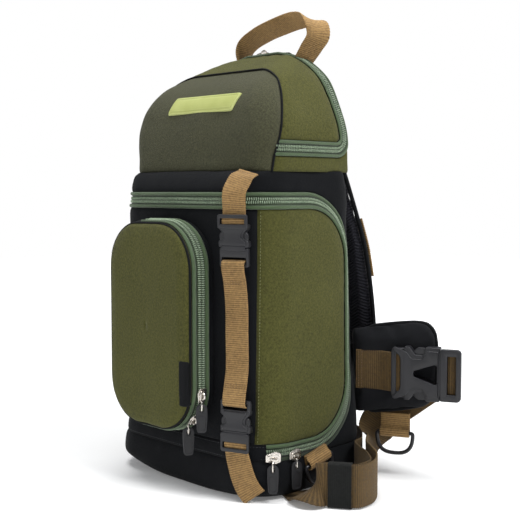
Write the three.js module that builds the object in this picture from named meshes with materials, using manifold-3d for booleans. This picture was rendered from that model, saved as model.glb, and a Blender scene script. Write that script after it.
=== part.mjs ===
// Fishing tackle sling bag, in millimetres, +Z up. X runs across the bag, -Y is its front, +Y its back.
// The origin is the middle of the main body's plan, on the flat underside.
// Every fabric piece is a thin open shell or a strip; sewn neighbours keep the small gap "seam".
import * as THREE from "three";
import { mergeVertices } from "three/addons/utils/BufferGeometryUtils.js";
import Module from "manifold-3d";

// Main body
const bodyWidth = 218; // widest, just above the base
const frontDepth = 78; // from the origin to the front face
const backDepth = 79; // from the origin to the back face
const bodyHeight = 309; // underside to the hood's seam
const frontCorner = 40; // plan radius of the two front corners
const backCorner = 30;
const baseRadius = 8; // rounding of the bottom edge
const shoulderHeight = 17; // the sloping shoulder between main zip and hood
const shoulderInset = 10; // how far the shoulder runs back
const wall = 3; // padded fabric wall
const seam = 0.3; // gap between sewn neighbours
const bulge = 4; // how far the faces crown between the corners

// Clamshell flap and main zip
const zipBand = 16; // width of the main zip with its two tapes
const zipDrop = 27; // from the hood's seam down to the zip's middle across the front
const zipBottom = 46;
const zipRear = 50; // how far back the zip's upright run lies
const zipCorner = 60; // radius of the zip's rear corners
const hingeReach = 62; // the zip stops, and the fabric hinge starts, this far in front of the middle
const sideSeam = 94.5; // from the middle to the seam between front panel and side panel

// Hood (top compartment)
const hoodHeight = 124;
const hoodWidth = 204;
const hoodFront = 60; // front face at the hood's seam
const hoodBack = 62;
const hoodCorner = 22;
const hoodWall = 2.5;
const hoodZipHeight = 22; // middle of the hood's zip above the hood's seam
const hoodZipBand = 15;
const hoodZipRear = 51; // how far back the zip turns up
const hoodZipCorner = 14;
const hoodZipLean = 0.09; // how much the zip's upright run leans forward, per mm of rise

// Front pocket
const pocketWidth = 126;
const pocketHeight = 204;
const pocketMiddle = -12; // its middle is left of the bag's
const pocketBottom = 59;
const pocketDepth = 34; // stands this far in front of the front face
const pocketCorner = 46;
const pocketCrown = 6;
const pocketWall = 2.5;
const pocketZipBand = 19;

// Webbing
const webThickness = 1.8;
const strapWidth = 24; // compression strap, handle and D-ring loops
const beltWidth = 40;
const clear = 0.6; // webbing to the surface that it lies on

// Compression strap with two buckles
const strapAngle = 18; // degrees round the front right corner
const buckleWidth = 31;
const buckleLength = 49;
const buckleThickness = 8;
const upperBuckleDrop = 64; // from the hood's seam down to the upper buckle's middle
const lowerBuckleHeight = 72; // middle of the lower buckle

// Waist belt
const wingLength = 82;
const wingHeight = 92;
const wingThickness = 13;
const wingMiddle = 107.5; // height of the wing's middle at the bag
const wingRise = 12; // how much higher the wing's end is
const beltHeight = 110;
const wingYaw = 25; // degrees that the wing turns back from square
const wingCorner = 22;
const beltBuckleWidth = 54;
const beltBuckleLength = 70;
const beltBuckleThickness = 12;
const beltBuckleStart = 38; // along the wing
const keeperLength = 22; // elastic sleeve round the doubled strap
const keeperWall = 1;
const keeperSlack = 1;
const strapFold = 4; // middle to middle of the doubled strap's two layers
const loopReach = 70; // how far the doubled strap's loop stands out beyond the bag's side

// D-rings, zip sliders and pulls
const ringWire = 4;
const ringWeb = 30; // webbing loops that hold the rings
const ringInside = 33;
const ringDrop = 23; // bar to the bow's middle
const sideRingAt = -6; // behind the middle
const sideRingBar = 32; // height of the bar
const sideRingTilt = 14;
const sideLoop = 10; // bar to the loop's sewn end
const beltRingAt = 39; // along the wing
const beltLoop = 20;
const sliderWidth = 10;
const sliderLength = 13;
const sliderThickness = 5;
const pullWidth = 11;
const pullLength = 27;
const pullThickness = 3;
const mainSliders = [-58, -36]; // along the bag's right side
const pocketSliders = [98, 74]; // heights
const hoodSliderAt = -4; // across the hood's top

// Badge and pocket tab
const badgeLength = 94;
const badgeHeight = 17;
const badgeSlant = 6;
const badgeMiddle = [9, 66]; // across, and above the hood's seam
const badgeThickness = 1.4;
const tabWidth = 10;
const tabLength = 43;
const tabHeight = 110;

// Carrying handle
const handleReach = 68; // furthest out to the right, where the webbing sags over
const handleRise = 41; // above the hood's top
const handleSet = 15; // in front of the hood's back

// Shoulder strap
const shoulderWidth = 72;
const shoulderThickness = 11;
const shoulderReach = 48; // how far the strap bows out behind the bag
const lowerWebLift = 60; // height of the shoulder strap's lower anchor on the bag
const lowerWebInset = 30; // from the body's side to that anchor

const wasm = await Module();
wasm.setup();
const { Manifold, Mesh: SolidMesh } = wasm;
const rad = THREE.MathUtils.degToRad;
const V = (x, y, z) => new THREE.Vector3(x, y, z);

// Materials

const fabric = (color, roughness = 0.9) => new THREE.MeshStandardMaterial({ color, roughness, metalness: 0 });
const materials = {
  black_fabric: fabric(0x17191c),
  olive_fabric: fabric(0x5b5f30),
  mesh_panel: fabric(0x3b3d2c),
  zip_tape: fabric(0x5a7550, 0.7),
  tan_webbing: fabric(0x8a6a3e),
  black_mesh: fabric(0x111118),
  black_webbing: fabric(0x141516),
  black_elastic: fabric(0x1b1c1b, 0.8),
  black_plastic: new THREE.MeshStandardMaterial({ color: 0x2b2c31, roughness: 0.45, metalness: 0 }),
  slider_metal: new THREE.MeshStandardMaterial({ color: 0xb9b2ab, roughness: 0.25, metalness: 1 }),
  pull_rubber: fabric(0x1c1c1e, 0.6),
  badge_rubber: fabric(0xb2ba6d, 0.5),
};

// Solids

function toSolid(geometry) {
  const bare = geometry.clone();
  bare.deleteAttribute("normal");
  bare.deleteAttribute("uv");
  const merged = mergeVertices(bare, 1e-4);
  const made = new Manifold(
    new SolidMesh({
      numProp: 3,
      vertProperties: merged.attributes.position.array,
      triVerts: new Uint32Array(merged.index.array),
    }),
  );
  if (made.volume() > 0) return made;
  const index = merged.index.array;
  for (let i = 0; i < index.length; i += 3) [index[i], index[i + 1]] = [index[i + 1], index[i]];
  return toSolid(merged);
}

function toGeometry(solid) {
  const made = solid.getMesh();
  const geometry = new THREE.BufferGeometry();
  geometry.setAttribute("position", new THREE.BufferAttribute(new Float32Array(made.vertProperties), 3));
  geometry.setIndex(new THREE.BufferAttribute(new Uint32Array(made.triVerts), 1));
  geometry.computeVertexNormals();
  return geometry;
}

const bag = new THREE.Group();

function add(name, solid, material, place = new THREE.Matrix4()) {
  const piece = new THREE.Mesh(toGeometry(solid), materials[material]);
  piece.name = name;
  piece.applyMatrix4(place);
  bag.add(piece);
}

// Joins rings of points, all with the same count, into one closed solid.
function loft(rings) {
  const count = rings[0].length;
  const corners = rings.flat();
  const ends = [rings[0], rings.at(-1)].map((ring) => {
    const middle = ring.reduce((sum, p) => sum.add(p), V(0, 0, 0)).divideScalar(count);
    return corners.push(middle) - 1;
  });
  const last = (rings.length - 1) * count;
  const faces = [];
  for (let k = 0; k < count; k++) {
    const next = (k + 1) % count;
    faces.push(ends[0], next, k, ends[1], last + k, last + next);
    for (let i = 0; i < last; i += count)
      faces.push(i + k, i + next, i + count + next, i + k, i + count + next, i + count + k);
  }
  const geometry = new THREE.BufferGeometry().setFromPoints(corners);
  geometry.setIndex(faces);
  return toSolid(geometry);
}

const extrude = (shape, depth, options = {}) =>
  toSolid(new THREE.ExtrudeGeometry(shape, { depth, bevelEnabled: false, curveSegments: 2, ...options }));

// A prism along X whose profile is drawn in Y and Z, and one along Y whose profile is drawn in X and Z.
const axisX = new THREE.Matrix4().makeBasis(V(0, 1, 0), V(0, 0, 1), V(1, 0, 0));
const axisY = new THREE.Matrix4().makeBasis(V(1, 0, 0), V(0, 0, 1), V(0, -1, 0));
const prismX = (shape, from, to) =>
  extrude(shape, to - from, { curveSegments: 6 }).transform(axisX.elements).translate([from, 0, 0]);
const prismY = (shape, from, to) =>
  extrude(shape, to - from, { curveSegments: 6 }).transform(axisY.elements).translate([0, to, 0]);

const block = (low, high) =>
  toSolid(new THREE.BoxGeometry(high[0] - low[0], high[1] - low[1], high[2] - low[2])).translate(
    low.map((value, i) => (value + high[i]) / 2),
  );

// A rectangle from (x0, y0) to (x1, y1); radii start at the lower left corner and go anticlockwise.
function roundedRectangle(x0, y0, x1, y1, radii) {
  const most = Math.min(x1 - x0, y1 - y0) / 2 - 0.01;
  const [a, b, c, d] = radii.map((r) => Math.max(0.01, Math.min(r, most)));
  const shape = new THREE.Shape();
  shape.moveTo(x0 + a, y0);
  shape.lineTo(x1 - b, y0);
  shape.absarc(x1 - b, y0 + b, b, -Math.PI / 2, 0);
  shape.lineTo(x1, y1 - c);
  shape.absarc(x1 - c, y1 - c, c, 0, Math.PI / 2);
  shape.lineTo(x0 + d, y1);
  shape.absarc(x0 + d, y1 - d, d, Math.PI / 2, Math.PI);
  shape.lineTo(x0, y0 + a);
  shape.absarc(x0 + a, y0 + a, a, Math.PI, Math.PI * 1.5);
  return shape;
}

// Reads a table at one height: smooth between its rows, flat at its ends.
function readTable(table, column, at) {
  const rows = table.length - 1;
  const i = Math.max(0, Math.min(rows - 1, table.findIndex((row) => row.at > at) - 1));
  const j = at >= table[rows].at ? rows - 1 : i;
  const slope = (k) => {
    if (k <= 0 || k >= rows) return 0;
    return (table[k + 1][column] - table[k - 1][column]) / (table[k + 1].at - table[k - 1].at);
  };
  const span = table[j + 1].at - table[j].at;
  const t = Math.max(0, Math.min(1, (at - table[j].at) / span));
  const rise = table[j + 1][column] - table[j][column];
  return (
    table[j][column] +
    rise * t * t * (3 - 2 * t) +
    span * t * (1 - t) * ((1 - t) * slope(j) - t * slope(j + 1))
  );
}

// The main body's outline by height; every column is a share of its named size.
const bodyTable = [
  { at: 0.0, half: 1.03, front: 1.05, back: 1.0 },
  { at: 0.08, half: 1.025, front: 1.05, back: 1.0 },
  { at: 0.17, half: 1.0, front: 1.0, back: 1.0 },
  { at: 0.4, half: 0.985, front: 0.99, back: 0.975 },
  { at: 0.7, half: 0.975, front: 0.985, back: 0.93 },
  { at: 0.9, half: 0.965, front: 0.99, back: 0.86 },
  { at: 1.0, half: 0.955, front: 0.99, back: 0.79 },
];

// The hood's outline by height above its seam; every column is a share of its named size.
const hoodTable = [
  { at: 0.0, half: 0.98, front: 1.0, back: 1.0 },
  { at: 0.1, half: 0.98, front: 0.99, back: 1.0 },
  { at: 0.24, half: 0.985, front: 0.99, back: 0.98 },
  { at: 0.38, half: 0.965, front: 0.97, back: 0.95 },
  { at: 0.53, half: 0.905, front: 0.9, back: 0.92 },
  { at: 0.67, half: 0.83, front: 0.68, back: 0.92 },
  { at: 0.77, half: 0.755, front: 0.38, back: 0.9 },
  { at: 0.87, half: 0.62, front: 0.03, back: 0.88 },
  { at: 0.95, half: 0.45, front: -0.3, back: 0.87 },
  { at: 1.0, half: 0.27, front: -0.62, back: 0.86 },
];

function bodyOutline(z, inset = 0) {
  const share = z / bodyHeight;
  const low = Math.max(0, baseRadius - z);
  const round = baseRadius - Math.sqrt(Math.max(0, baseRadius ** 2 - low ** 2));
  const high = Math.max(0, z - (bodyHeight - shoulderHeight)) / shoulderHeight;
  const slope = shoulderInset * (1 - Math.sqrt(Math.max(0, 1 - high ** 1.6)));
  return {
    half: (readTable(bodyTable, "half", share) * bodyWidth) / 2 - round - inset,
    front: readTable(bodyTable, "front", share) * frontDepth - round - Math.min(slope, shoulderInset) - inset,
    back: readTable(bodyTable, "back", share) * backDepth - round - inset,
    frontCorner: Math.max(6, frontCorner - inset - round * 0.5 - slope * 0.6),
    backCorner: Math.max(6, backCorner - inset - round * 0.5),
    bulge: bulge * Math.min(1, z / zipBottom) * (1 - high),
  };
}

function hoodOutline(height, inset = 0) {
  const share = height / hoodHeight;
  const half = (readTable(hoodTable, "half", share) * hoodWidth) / 2 - inset;
  const front = readTable(hoodTable, "front", share) * hoodFront - inset;
  const back = readTable(hoodTable, "back", share) * hoodBack - inset;
  const most = (front + back) * 0.49;
  return {
    half,
    front,
    back,
    frontCorner: Math.min(hoodCorner, most),
    backCorner: Math.min(10, most),
    bulge: bulge * Math.max(0, 1 - share * 1.2),
  };
}

// The outline's point and outward normal at a corner angle; each side crowns by the outline's bulge.
function crowned(outline, x, y, nx, ny) {
  const { half, front, back, bulge: crown } = outline;
  const across = 1 - Math.min(1, (x / half) ** 2);
  const middle = (back - front) / 2;
  const along = 1 - Math.min(1, ((y - middle) / ((back + front) / 2)) ** 2);
  const depthCrown = ny < 0 ? crown : crown * 0.5;
  return V(x + nx * crown * along, y + ny * depthCrown * across, 0);
}

function ring(outline, z, cornerSteps, sideSteps) {
  const { half, front, back, frontCorner: rf, backCorner: rb } = outline;
  const corners = [
    { x: half - rf, y: rf - front, r: rf, from: -90 },
    { x: half - rb, y: back - rb, r: rb, from: 0 },
    { x: rb - half, y: back - rb, r: rb, from: 90 },
    { x: rf - half, y: rf - front, r: rf, from: 180 },
  ];
  const points = [];
  corners.forEach((corner, i) => {
    for (let k = 0; k <= cornerSteps; k++) {
      const a = rad(corner.from + (90 * k) / cornerSteps);
      const [nx, ny] = [Math.cos(a), Math.sin(a)];
      points.push(crowned(outline, corner.x + corner.r * nx, corner.y + corner.r * ny, nx, ny));
    }
    const after = corners[(i + 1) % 4];
    const a = rad(corner.from + 90);
    const [nx, ny] = [Math.cos(a), Math.sin(a)];
    const start = [corner.x + corner.r * nx, corner.y + corner.r * ny];
    const end = [after.x + after.r * nx, after.y + after.r * ny];
    for (let k = 1; k < sideSteps; k++) {
      const t = k / sideSteps;
      const [x, y] = [0, 1].map((n) => start[n] + (end[n] - start[n]) * t);
      points.push(crowned(outline, x, y, nx, ny));
    }
  });
  return points.map((p) => p.setZ(z));
}

// A point on the body's front right corner: angle 0 faces the front, 90 the right side.
function onCorner(angle, z, out) {
  const outline = bodyOutline(z);
  const a = rad(angle - 90);
  const n = V(Math.cos(a), Math.sin(a), 0);
  const r = outline.frontCorner;
  const p = crowned(outline, outline.half - r + r * n.x, r - outline.front + r * n.y, n.x, n.y).setZ(z);
  return { point: p.addScaledVector(n, out), normal: n, along: V(-n.y, n.x, 0) };
}

// A point on the body's right side, y behind the middle.
function onSide(y, z, out) {
  const outline = bodyOutline(z);
  return crowned(outline, outline.half, y, 1, 0).setZ(z).add(V(out, 0, 0));
}

// Main body, hollow, cut into the pieces that are sewn together

const bodyHeights = [0, 2.5, baseRadius, 24, 45, 90, 150, 210, 262, 286, 295, bodyHeight];
const bodyOuter = loft(bodyHeights.map((z) => ring(bodyOutline(z), z, 4, 3)));
const innerHeights = [wall, 8, 24, 150, 262, 288, bodyHeight - wall];
const bodyInner = loft(innerHeights.map((z) => ring(bodyOutline(z, wall), z, 3, 2)));
const bodyShell = bodyOuter.subtract(bodyInner);

const wide = bodyWidth;
const zipTop = bodyHeight - zipDrop;
const flapPrism = (grow) => {
  const r = zipCorner + grow;
  const shape = roundedRectangle(-wide, zipBottom - grow, zipRear + grow, zipTop + grow, [0, r, r, 0]);
  return prismX(shape, -wide, wide);
};
const zipHalf = zipBand / 2;
const baseSeam = zipBottom - zipHalf;
const flapShell = bodyShell.intersect(flapPrism(-zipHalf));
const bandShell = bodyShell.intersect(flapPrism(zipHalf - seam)).subtract(flapPrism(seam - zipHalf));
const frameShell = bodyShell.subtract(flapPrism(zipHalf));
const hingeBlock = block([-wide, -wide, 0], [wide, -hingeReach, zipBottom + zipCorner]);
const hingeGap = block([-wide, -wide, 0], [wide, seam - hingeReach, zipBottom + zipCorner]);

const belowSeam = block([-wide, -wide, -1], [wide, wide, baseSeam - seam]);
const aboveSeam = block([-wide, -wide, baseSeam], [wide, wide, bodyHeight + 1]);
add("base_tub", frameShell.intersect(belowSeam), "black_fabric");
add("back_frame", frameShell.intersect(aboveSeam), "black_fabric");
add("flap_hinge", bandShell.intersect(hingeBlock), "black_fabric");
add("main_zip", bandShell.subtract(hingeGap), "zip_tape");
const flapBetween = (from, to) => flapShell.intersect(block([from, -wide, 0], [to, wide, bodyHeight]));
add("flap_front", flapBetween(seam - sideSeam, sideSeam - seam), "black_fabric");
add("flap_side_right", flapBetween(sideSeam, wide), "olive_fabric");
add("flap_side_left", flapBetween(-wide, -sideSeam), "olive_fabric");

// Hood, an upside-down bowl on the body's top deck

const hoodBase = bodyHeight + seam;
const hoodHeights = [0, 14, 30, 46, 62, 78, 92, 104, 114, hoodHeight];
const hoodOuter = loft(hoodHeights.map((z) => ring(hoodOutline(z), hoodBase + z, 3, 3)));
const hoodInnerHeights = [-1, 19, 40, 68, 94, 108, 116, hoodHeight - hoodWall - 2];
const hoodInner = loft(
  hoodInnerHeights.map((z) => ring(hoodOutline(Math.max(0, z), hoodWall), hoodBase + z, 2, 2)),
);
const hoodShell = hoodOuter.subtract(hoodInner);

// The rear edge of the dark front panel seen from the side, as shares of hoodFront and hoodHeight.
const panelTable = [
  { front: 0.83, up: 0 },
  { front: 0.785, up: 0.14 },
  { front: 0.72, up: 0.25 },
  { front: 0.635, up: 0.4 },
  { front: 0.52, up: 0.55 },
  { front: 0.43, up: 0.67 },
  { front: 0.32, up: 0.77 },
  { front: 0.2, up: 0.83 },
  { front: 0.05, up: 0.87 },
];
function panelPrism(grow) {
  const shape = new THREE.Shape();
  shape.moveTo(-wide, hoodBase + panelTable.at(-1).up * hoodHeight + grow);
  shape.lineTo(-wide, hoodBase - wall);
  shape.lineTo(grow - panelTable[0].front * hoodFront, hoodBase - wall);
  for (const row of panelTable)
    shape.lineTo(grow - row.front * hoodFront, hoodBase + row.up * hoodHeight + grow);
  return prismX(shape, -wide, wide);
}
const hoodRest = hoodShell.subtract(panelPrism(seam));
const zipLevel = hoodBase + hoodZipHeight;
const hoodLean = new THREE.Matrix4().makeShear(0, 0, 0, 0, 0, -hoodZipLean);
const lidPrism = (grow) => {
  const corner = hoodZipCorner + grow;
  const shape = roundedRectangle(-wide, -grow, hoodZipRear + grow, hoodHeight * 2, [0, corner, 0, 0]);
  return prismX(shape, -wide, wide).transform(hoodLean.elements).translate([0, 0, zipLevel]);
};
const hoodZipHalf = hoodZipBand / 2;
const hoodZip = hoodRest.intersect(lidPrism(hoodZipHalf - seam)).subtract(lidPrism(seam - hoodZipHalf));
add("hood_front", hoodShell.intersect(panelPrism(0)), "mesh_panel");
add("hood_upper", hoodRest.intersect(lidPrism(-hoodZipHalf)), "olive_fabric");
add("hood_zip", hoodZip, "zip_tape");
const hoodBelow = hoodRest.subtract(lidPrism(hoodZipHalf));
const backFrom = hoodZipRear + hoodZipHalf - hoodWall * 0.4;
const behind = (y) => {
  const slab = block([-wide, y, -hoodHeight], [wide, wide, hoodHeight * 2]);
  return slab.transform(hoodLean.elements).translate([0, 0, zipLevel]);
};
const hoodSides = hoodBelow.subtract(behind(backFrom - seam));
const sideOfMiddle = (from, to) => hoodSides.intersect(block([from, -wide, 0], [to, wide, 2 * bodyHeight]));
add("hood_lower_right", sideOfMiddle(0, wide), "olive_fabric");
add("hood_lower_left", sideOfMiddle(-wide, 0), "olive_fabric");
add("hood_back", hoodBelow.intersect(behind(backFrom)), "black_fabric");

// The outer surfaces grown by the seam gap, for trimming what is sewn on to them.
const bodyGrown = loft(bodyHeights.map((z) => ring(bodyOutline(z, -seam), z, 4, 3)));
const hoodGrown = loft(hoodHeights.map((z) => ring(hoodOutline(z, -seam), hoodBase + z, 3, 3)));

// Front pocket: rounded rings stacked from the body's front face outwards

const pocketFront = frontDepth + pocketDepth;
const pocketRight = pocketMiddle + pocketWidth / 2;
const pocketLeft = pocketMiddle - pocketWidth / 2;

// Each ring stands out by a share of pocketDepth and draws in by a share of pocketCrown.
const pocketTable = [
  { out: -0.6, in: 0 },
  { out: 0.55, in: 0 },
  { out: 0.86, in: 0.35 },
  { out: 0.96, in: 1.1 },
  { out: 1, in: 2.6 },
];

function pocketRing(row, inset) {
  const draw = row.in * pocketCrown + inset;
  const top = pocketBottom + pocketHeight;
  const r = pocketCorner - draw;
  const shape = roundedRectangle(
    pocketLeft + draw, pocketBottom + draw, pocketRight - draw, top - draw, [r, r, r, r],
  );
  const y = -frontDepth - row.out * pocketDepth + (row.out > 0.5 ? inset : 0);
  return shape.getSpacedPoints(36).slice(0, 36).map((p) => V(p.x, y, p.y));
}

const pocketShell = loft(pocketTable.map((row) => pocketRing(row, 0)))
  .subtract(loft(pocketTable.slice(0, 4).map((row) => pocketRing(row, pocketWall))))
  .subtract(bodyGrown);
const pocketZipFront = -frontDepth - 0.84 * pocketDepth;
const pocketZipBack = pocketZipFront + pocketZipBand;
const pocketHinge = pocketLeft + pocketCorner * 1.05; // where the zip's two ends meet the plain gusset
const pocketFaceBlock = block([-wide, -wide, 0], [wide, pocketZipFront, bodyHeight]);
const pocketZipBlock = block([pocketHinge, pocketZipFront + seam, 0], [wide, pocketZipBack, bodyHeight]);
const pocketSideBlock = block([-wide, pocketZipBack + seam, 0], [wide, 0, bodyHeight]).add(
  block([-wide, pocketZipFront + seam, 0], [pocketHinge - seam, 0, bodyHeight]),
);
add("pocket_face", pocketShell.intersect(pocketFaceBlock), "olive_fabric");
add("pocket_zip", pocketShell.intersect(pocketZipBlock), "zip_tape");
add("pocket_gusset", pocketShell.intersect(pocketSideBlock), "black_fabric");

// Strips of webbing

// Rows hold the middle line's place "at", the strip's cross direction "across", and its share of the width.
function strip(rows, width, thickness, stepsPerRow = 2) {
  const path = new THREE.CatmullRomCurve3(rows.map((row) => row.at), false, "centripetal");
  const last = rows.length - 1;
  const steps = last * stepsPerRow;
  const rings = [];
  for (let i = 0; i <= steps; i++) {
    const t = i / steps;
    const k = Math.min(last - 1, Math.floor(t * last));
    const along = path.getTangent(t);
    const across = rows[k].across.clone().lerp(rows[k + 1].across, t * last - k);
    const share = THREE.MathUtils.lerp(rows[k].share ?? 1, rows[k + 1].share ?? 1, t * last - k);
    across.addScaledVector(along, -across.dot(along)).normalize();
    const normal = along.clone().cross(across);
    const middle = path.getPoint(t);
    const toEdge = across.clone().multiplyScalar((share * width) / 2);
    const toFace = normal.clone().multiplyScalar(thickness / 2);
    rings.push(
      [[-1, -1], [1, -1], [1, 1], [-1, 1]].map(([a, b]) =>
        middle.clone().addScaledVector(toEdge, a).addScaledVector(toFace, b),
      ),
    );
  }
  return loft(rings);
}

const alongX = V(1, 0, 0);
const alongZ = V(0, 0, 1);
const onWeb = clear + webThickness / 2; // middle of a strip that lies on a surface

// A place on the body's front, x from the middle, following the right corner where x passes it.
function onFront(x, z, out) {
  const outline = bodyOutline(z);
  const r = outline.frontCorner;
  const past = (x - (outline.half - r)) / r;
  const a = Math.asin(Math.max(0, Math.min(1, past)));
  const n = V(Math.sin(a), -Math.cos(a), 0);
  const flatX = Math.min(x, outline.half - r);
  const p = crowned(outline, flatX + r * n.x, r - outline.front + r * n.y, n.x, n.y).setZ(z);
  return { point: p.addScaledVector(n, out), normal: n, along: V(-n.y, n.x, 0) };
}

// Side-release buckle: width across, length along the webbing, drawn standing up with its face to +Z.
// The catch lies below and its prongs reach into the socket above.
function buckle(name, width, length, thickness, web, place, window) {
  const half = width / 2;
  const top = length / 2;
  const split = -length * 0.12;
  const frame = thickness * 0.62;
  const bar = length * 0.075;
  const slot = webThickness * 3;
  const slotHalf = web / 2 + clear;
  const armOuter = half - width * 0.1;
  const box = (x0, y0, x1, y1, t) => block([x0, y0, -t / 2], [x1, y1, t / 2]);
  const plate = (x, y0, y1, r, t) =>
    extrude(roundedRectangle(-x, y0, x, y1, [r, r, r, r]), t).translate([0, 0, -t / 2]);
  let socket = plate(half, split, top - bar - slot, width * 0.12, thickness).add(
    plate(Math.max(half * 0.92, slotHalf + bar * 0.8), top - bar - slot - bar * 2, top, width * 0.08, frame),
  );
  socket = socket
    .subtract(box(-slotHalf, top - bar - slot, slotHalf, top - bar, thickness * 2))
    .subtract(box(-armOuter - clear, split - 1, armOuter + clear, length * 0.24, thickness * 0.55))
    .subtract(box(-width, 0, -armOuter + width * 0.06, length * 0.2, thickness * 0.55))
    .subtract(box(armOuter - width * 0.06, 0, width, length * 0.2, thickness * 0.55));
  if (window) {
    const hole = new THREE.Shape();
    hole.moveTo(-half * 0.36, split + length * 0.05);
    hole.lineTo(half * 0.36, split + length * 0.05);
    hole.lineTo(0, length * 0.2);
    hole.closePath();
    socket = socket.subtract(extrude(hole, thickness).translate([0, 0, thickness * 0.1]));
  }
  const inner = thickness * 0.4;
  const lobe = (side) => {
    const outline = new THREE.Shape();
    const x = side * (armOuter + width * 0.03);
    outline.absellipse(x, length * 0.1, width * 0.08, length * 0.075, 0, Math.PI * 2);
    return extrude(outline, inner).translate([0, 0, -inner / 2]);
  };
  const arm = (side) => {
    const [x0, x1] = [side * armOuter, side * (armOuter - width * 0.1)];
    return box(Math.min(x0, x1), split - 2, Math.max(x0, x1), length * 0.17, inner).add(lobe(side));
  };
  const catchPlate = plate(half * 0.96, -top, split - seam, width * 0.1, frame)
    .subtract(box(-slotHalf, -top + bar, slotHalf, -top + bar + slot, thickness * 2))
    .add(arm(-1))
    .add(arm(1))
    .add(box(-width * 0.06, split - 2, width * 0.06, length * 0.18, inner));
  add(name + "_socket", socket.transform(place.elements), "black_plastic");
  add(name + "_catch", catchPlate.transform(place.elements), "black_plastic");
  return { slotUp: top - bar - slot / 2, slotDown: -top + bar + slot / 2, turn: bar + slot / 2 };
}

// Compression strap down the front right corner, with two buckles

const upperBuckleHeight = bodyHeight - upperBuckleDrop;
const strapOut = buckleThickness / 2 + clear;
const cornerX = (z) => onCorner(strapAngle, z, 0).point.x;
function buckleOnCorner(name, z) {
  const seat = onCorner(strapAngle, z, strapOut);
  const tangent = onCorner(strapAngle, z + 10, strapOut).point.sub(seat.point).normalize();
  const face = seat.along.clone().cross(tangent).normalize();
  const place = new THREE.Matrix4().makeBasis(seat.along, tangent, face).setPosition(seat.point);
  return buckle(name, buckleWidth, buckleLength, buckleThickness, strapWidth, place, false);
}
const buckleSlots = buckleOnCorner("upper_buckle", upperBuckleHeight);
buckleOnCorner("lower_buckle", lowerBuckleHeight);

// Rows: height, distance out from the body, and how far to the right of the strap's own line.
function cornerStrip(name, rows) {
  const places = rows.map(({ z, out, aside = 0 }) => {
    const seat = aside ? onFront(cornerX(z) + aside, z, out) : onCorner(strapAngle, z, out);
    return { at: seat.point, across: seat.along };
  });
  add(name, strip(places, strapWidth, webThickness), "tan_webbing");
}
const frameHalf = (buckleThickness * 0.62) / 2;
const frontOfBar = strapOut + frameHalf + onWeb;
const barPast = buckleSlots.turn + webThickness; // from a slot's middle to just past its bar
const upperSlot = upperBuckleHeight + buckleSlots.slotUp;
const upperLow = upperBuckleHeight + buckleSlots.slotDown;
const lowerSlot = lowerBuckleHeight + buckleSlots.slotUp;
const lowerLow = lowerBuckleHeight + buckleSlots.slotDown;
// A strap's end over a buckle's bar and into its slot, up (1) or down (-1) from the slot.
const overBar = (slotHeight, way) => [
  { z: slotHeight + way * (barPast + 14), out: strapOut },
  { z: slotHeight + way * barPast, out: frontOfBar },
  { z: slotHeight + way * webThickness * 1.1, out: frontOfBar },
  { z: slotHeight, out: strapOut },
];
cornerStrip("front_strap_top", [
  { z: bodyHeight - 1, out: 4, aside: 4 },
  { z: bodyHeight - 9, out: 6, aside: 4 },
  { z: zipTop + zipHalf, out: 7, aside: 2 },
  ...overBar(upperSlot, 1).slice(1),
]);
cornerStrip("front_strap_middle", [
  ...overBar(upperLow, -1).reverse(),
  { z: upperLow - 45, out: onWeb },
  { z: (upperLow + lowerSlot) / 2, out: onWeb },
  { z: lowerSlot + 35, out: onWeb },
  ...overBar(lowerSlot, 1),
]);
cornerStrip("front_strap_bottom", [
  ...overBar(lowerLow, -1).slice(1).reverse(),
  { z: baseSeam * 0.65, out: onWeb * 1.5, aside: 5 },
  { z: baseSeam * 0.35, out: onWeb * 1.2, aside: 9 },
  { z: baseSeam * 0.15, out: onWeb, aside: 13 },
]);

// Waist belt: padded wings, webbing, buckle and the long strap

const yaw = rad(wingYaw);
const wingRoot = V(bodyWidth / 2 - 9, backDepth - 4, 0);
const wingAlong = V(Math.cos(yaw), Math.sin(yaw), 0);
const wingFace = V(Math.sin(yaw), -Math.cos(yaw), 0);
const onWing = (u, out, z) =>
  wingRoot.clone().addScaledVector(wingAlong, u).addScaledVector(wingFace, out).setZ(z);
const wingPlace = new THREE.Matrix4().makeBasis(wingAlong, alongZ, wingFace).setPosition(wingRoot);
const edge = 4; // rounding of the padded edge
const wingStart = -12;
const wingShape = roundedRectangle(
  wingStart + edge, wingMiddle - wingHeight / 2 + edge, wingLength - edge, wingMiddle + wingHeight / 2 - edge,
  [1, wingCorner * 0.6, wingCorner, 1],
);
const wingSlope = new THREE.Matrix4().makeShear(wingRise / wingLength, 0, 0, 0, 0, 0);
const wing = extrude(wingShape, wingThickness - 2 * edge, {
  bevelEnabled: true, bevelThickness: edge, bevelSize: edge, bevelSegments: 2, curveSegments: 4,
})
  .translate([0, 0, edge - wingThickness / 2])
  .transform(wingSlope.elements)
  .transform(wingPlace.elements);
add("belt_wing_right", wing.subtract(bodyGrown), "black_fabric");
add("belt_wing_left", wing.mirror([1, 0, 0]).subtract(bodyGrown), "black_fabric");

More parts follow.
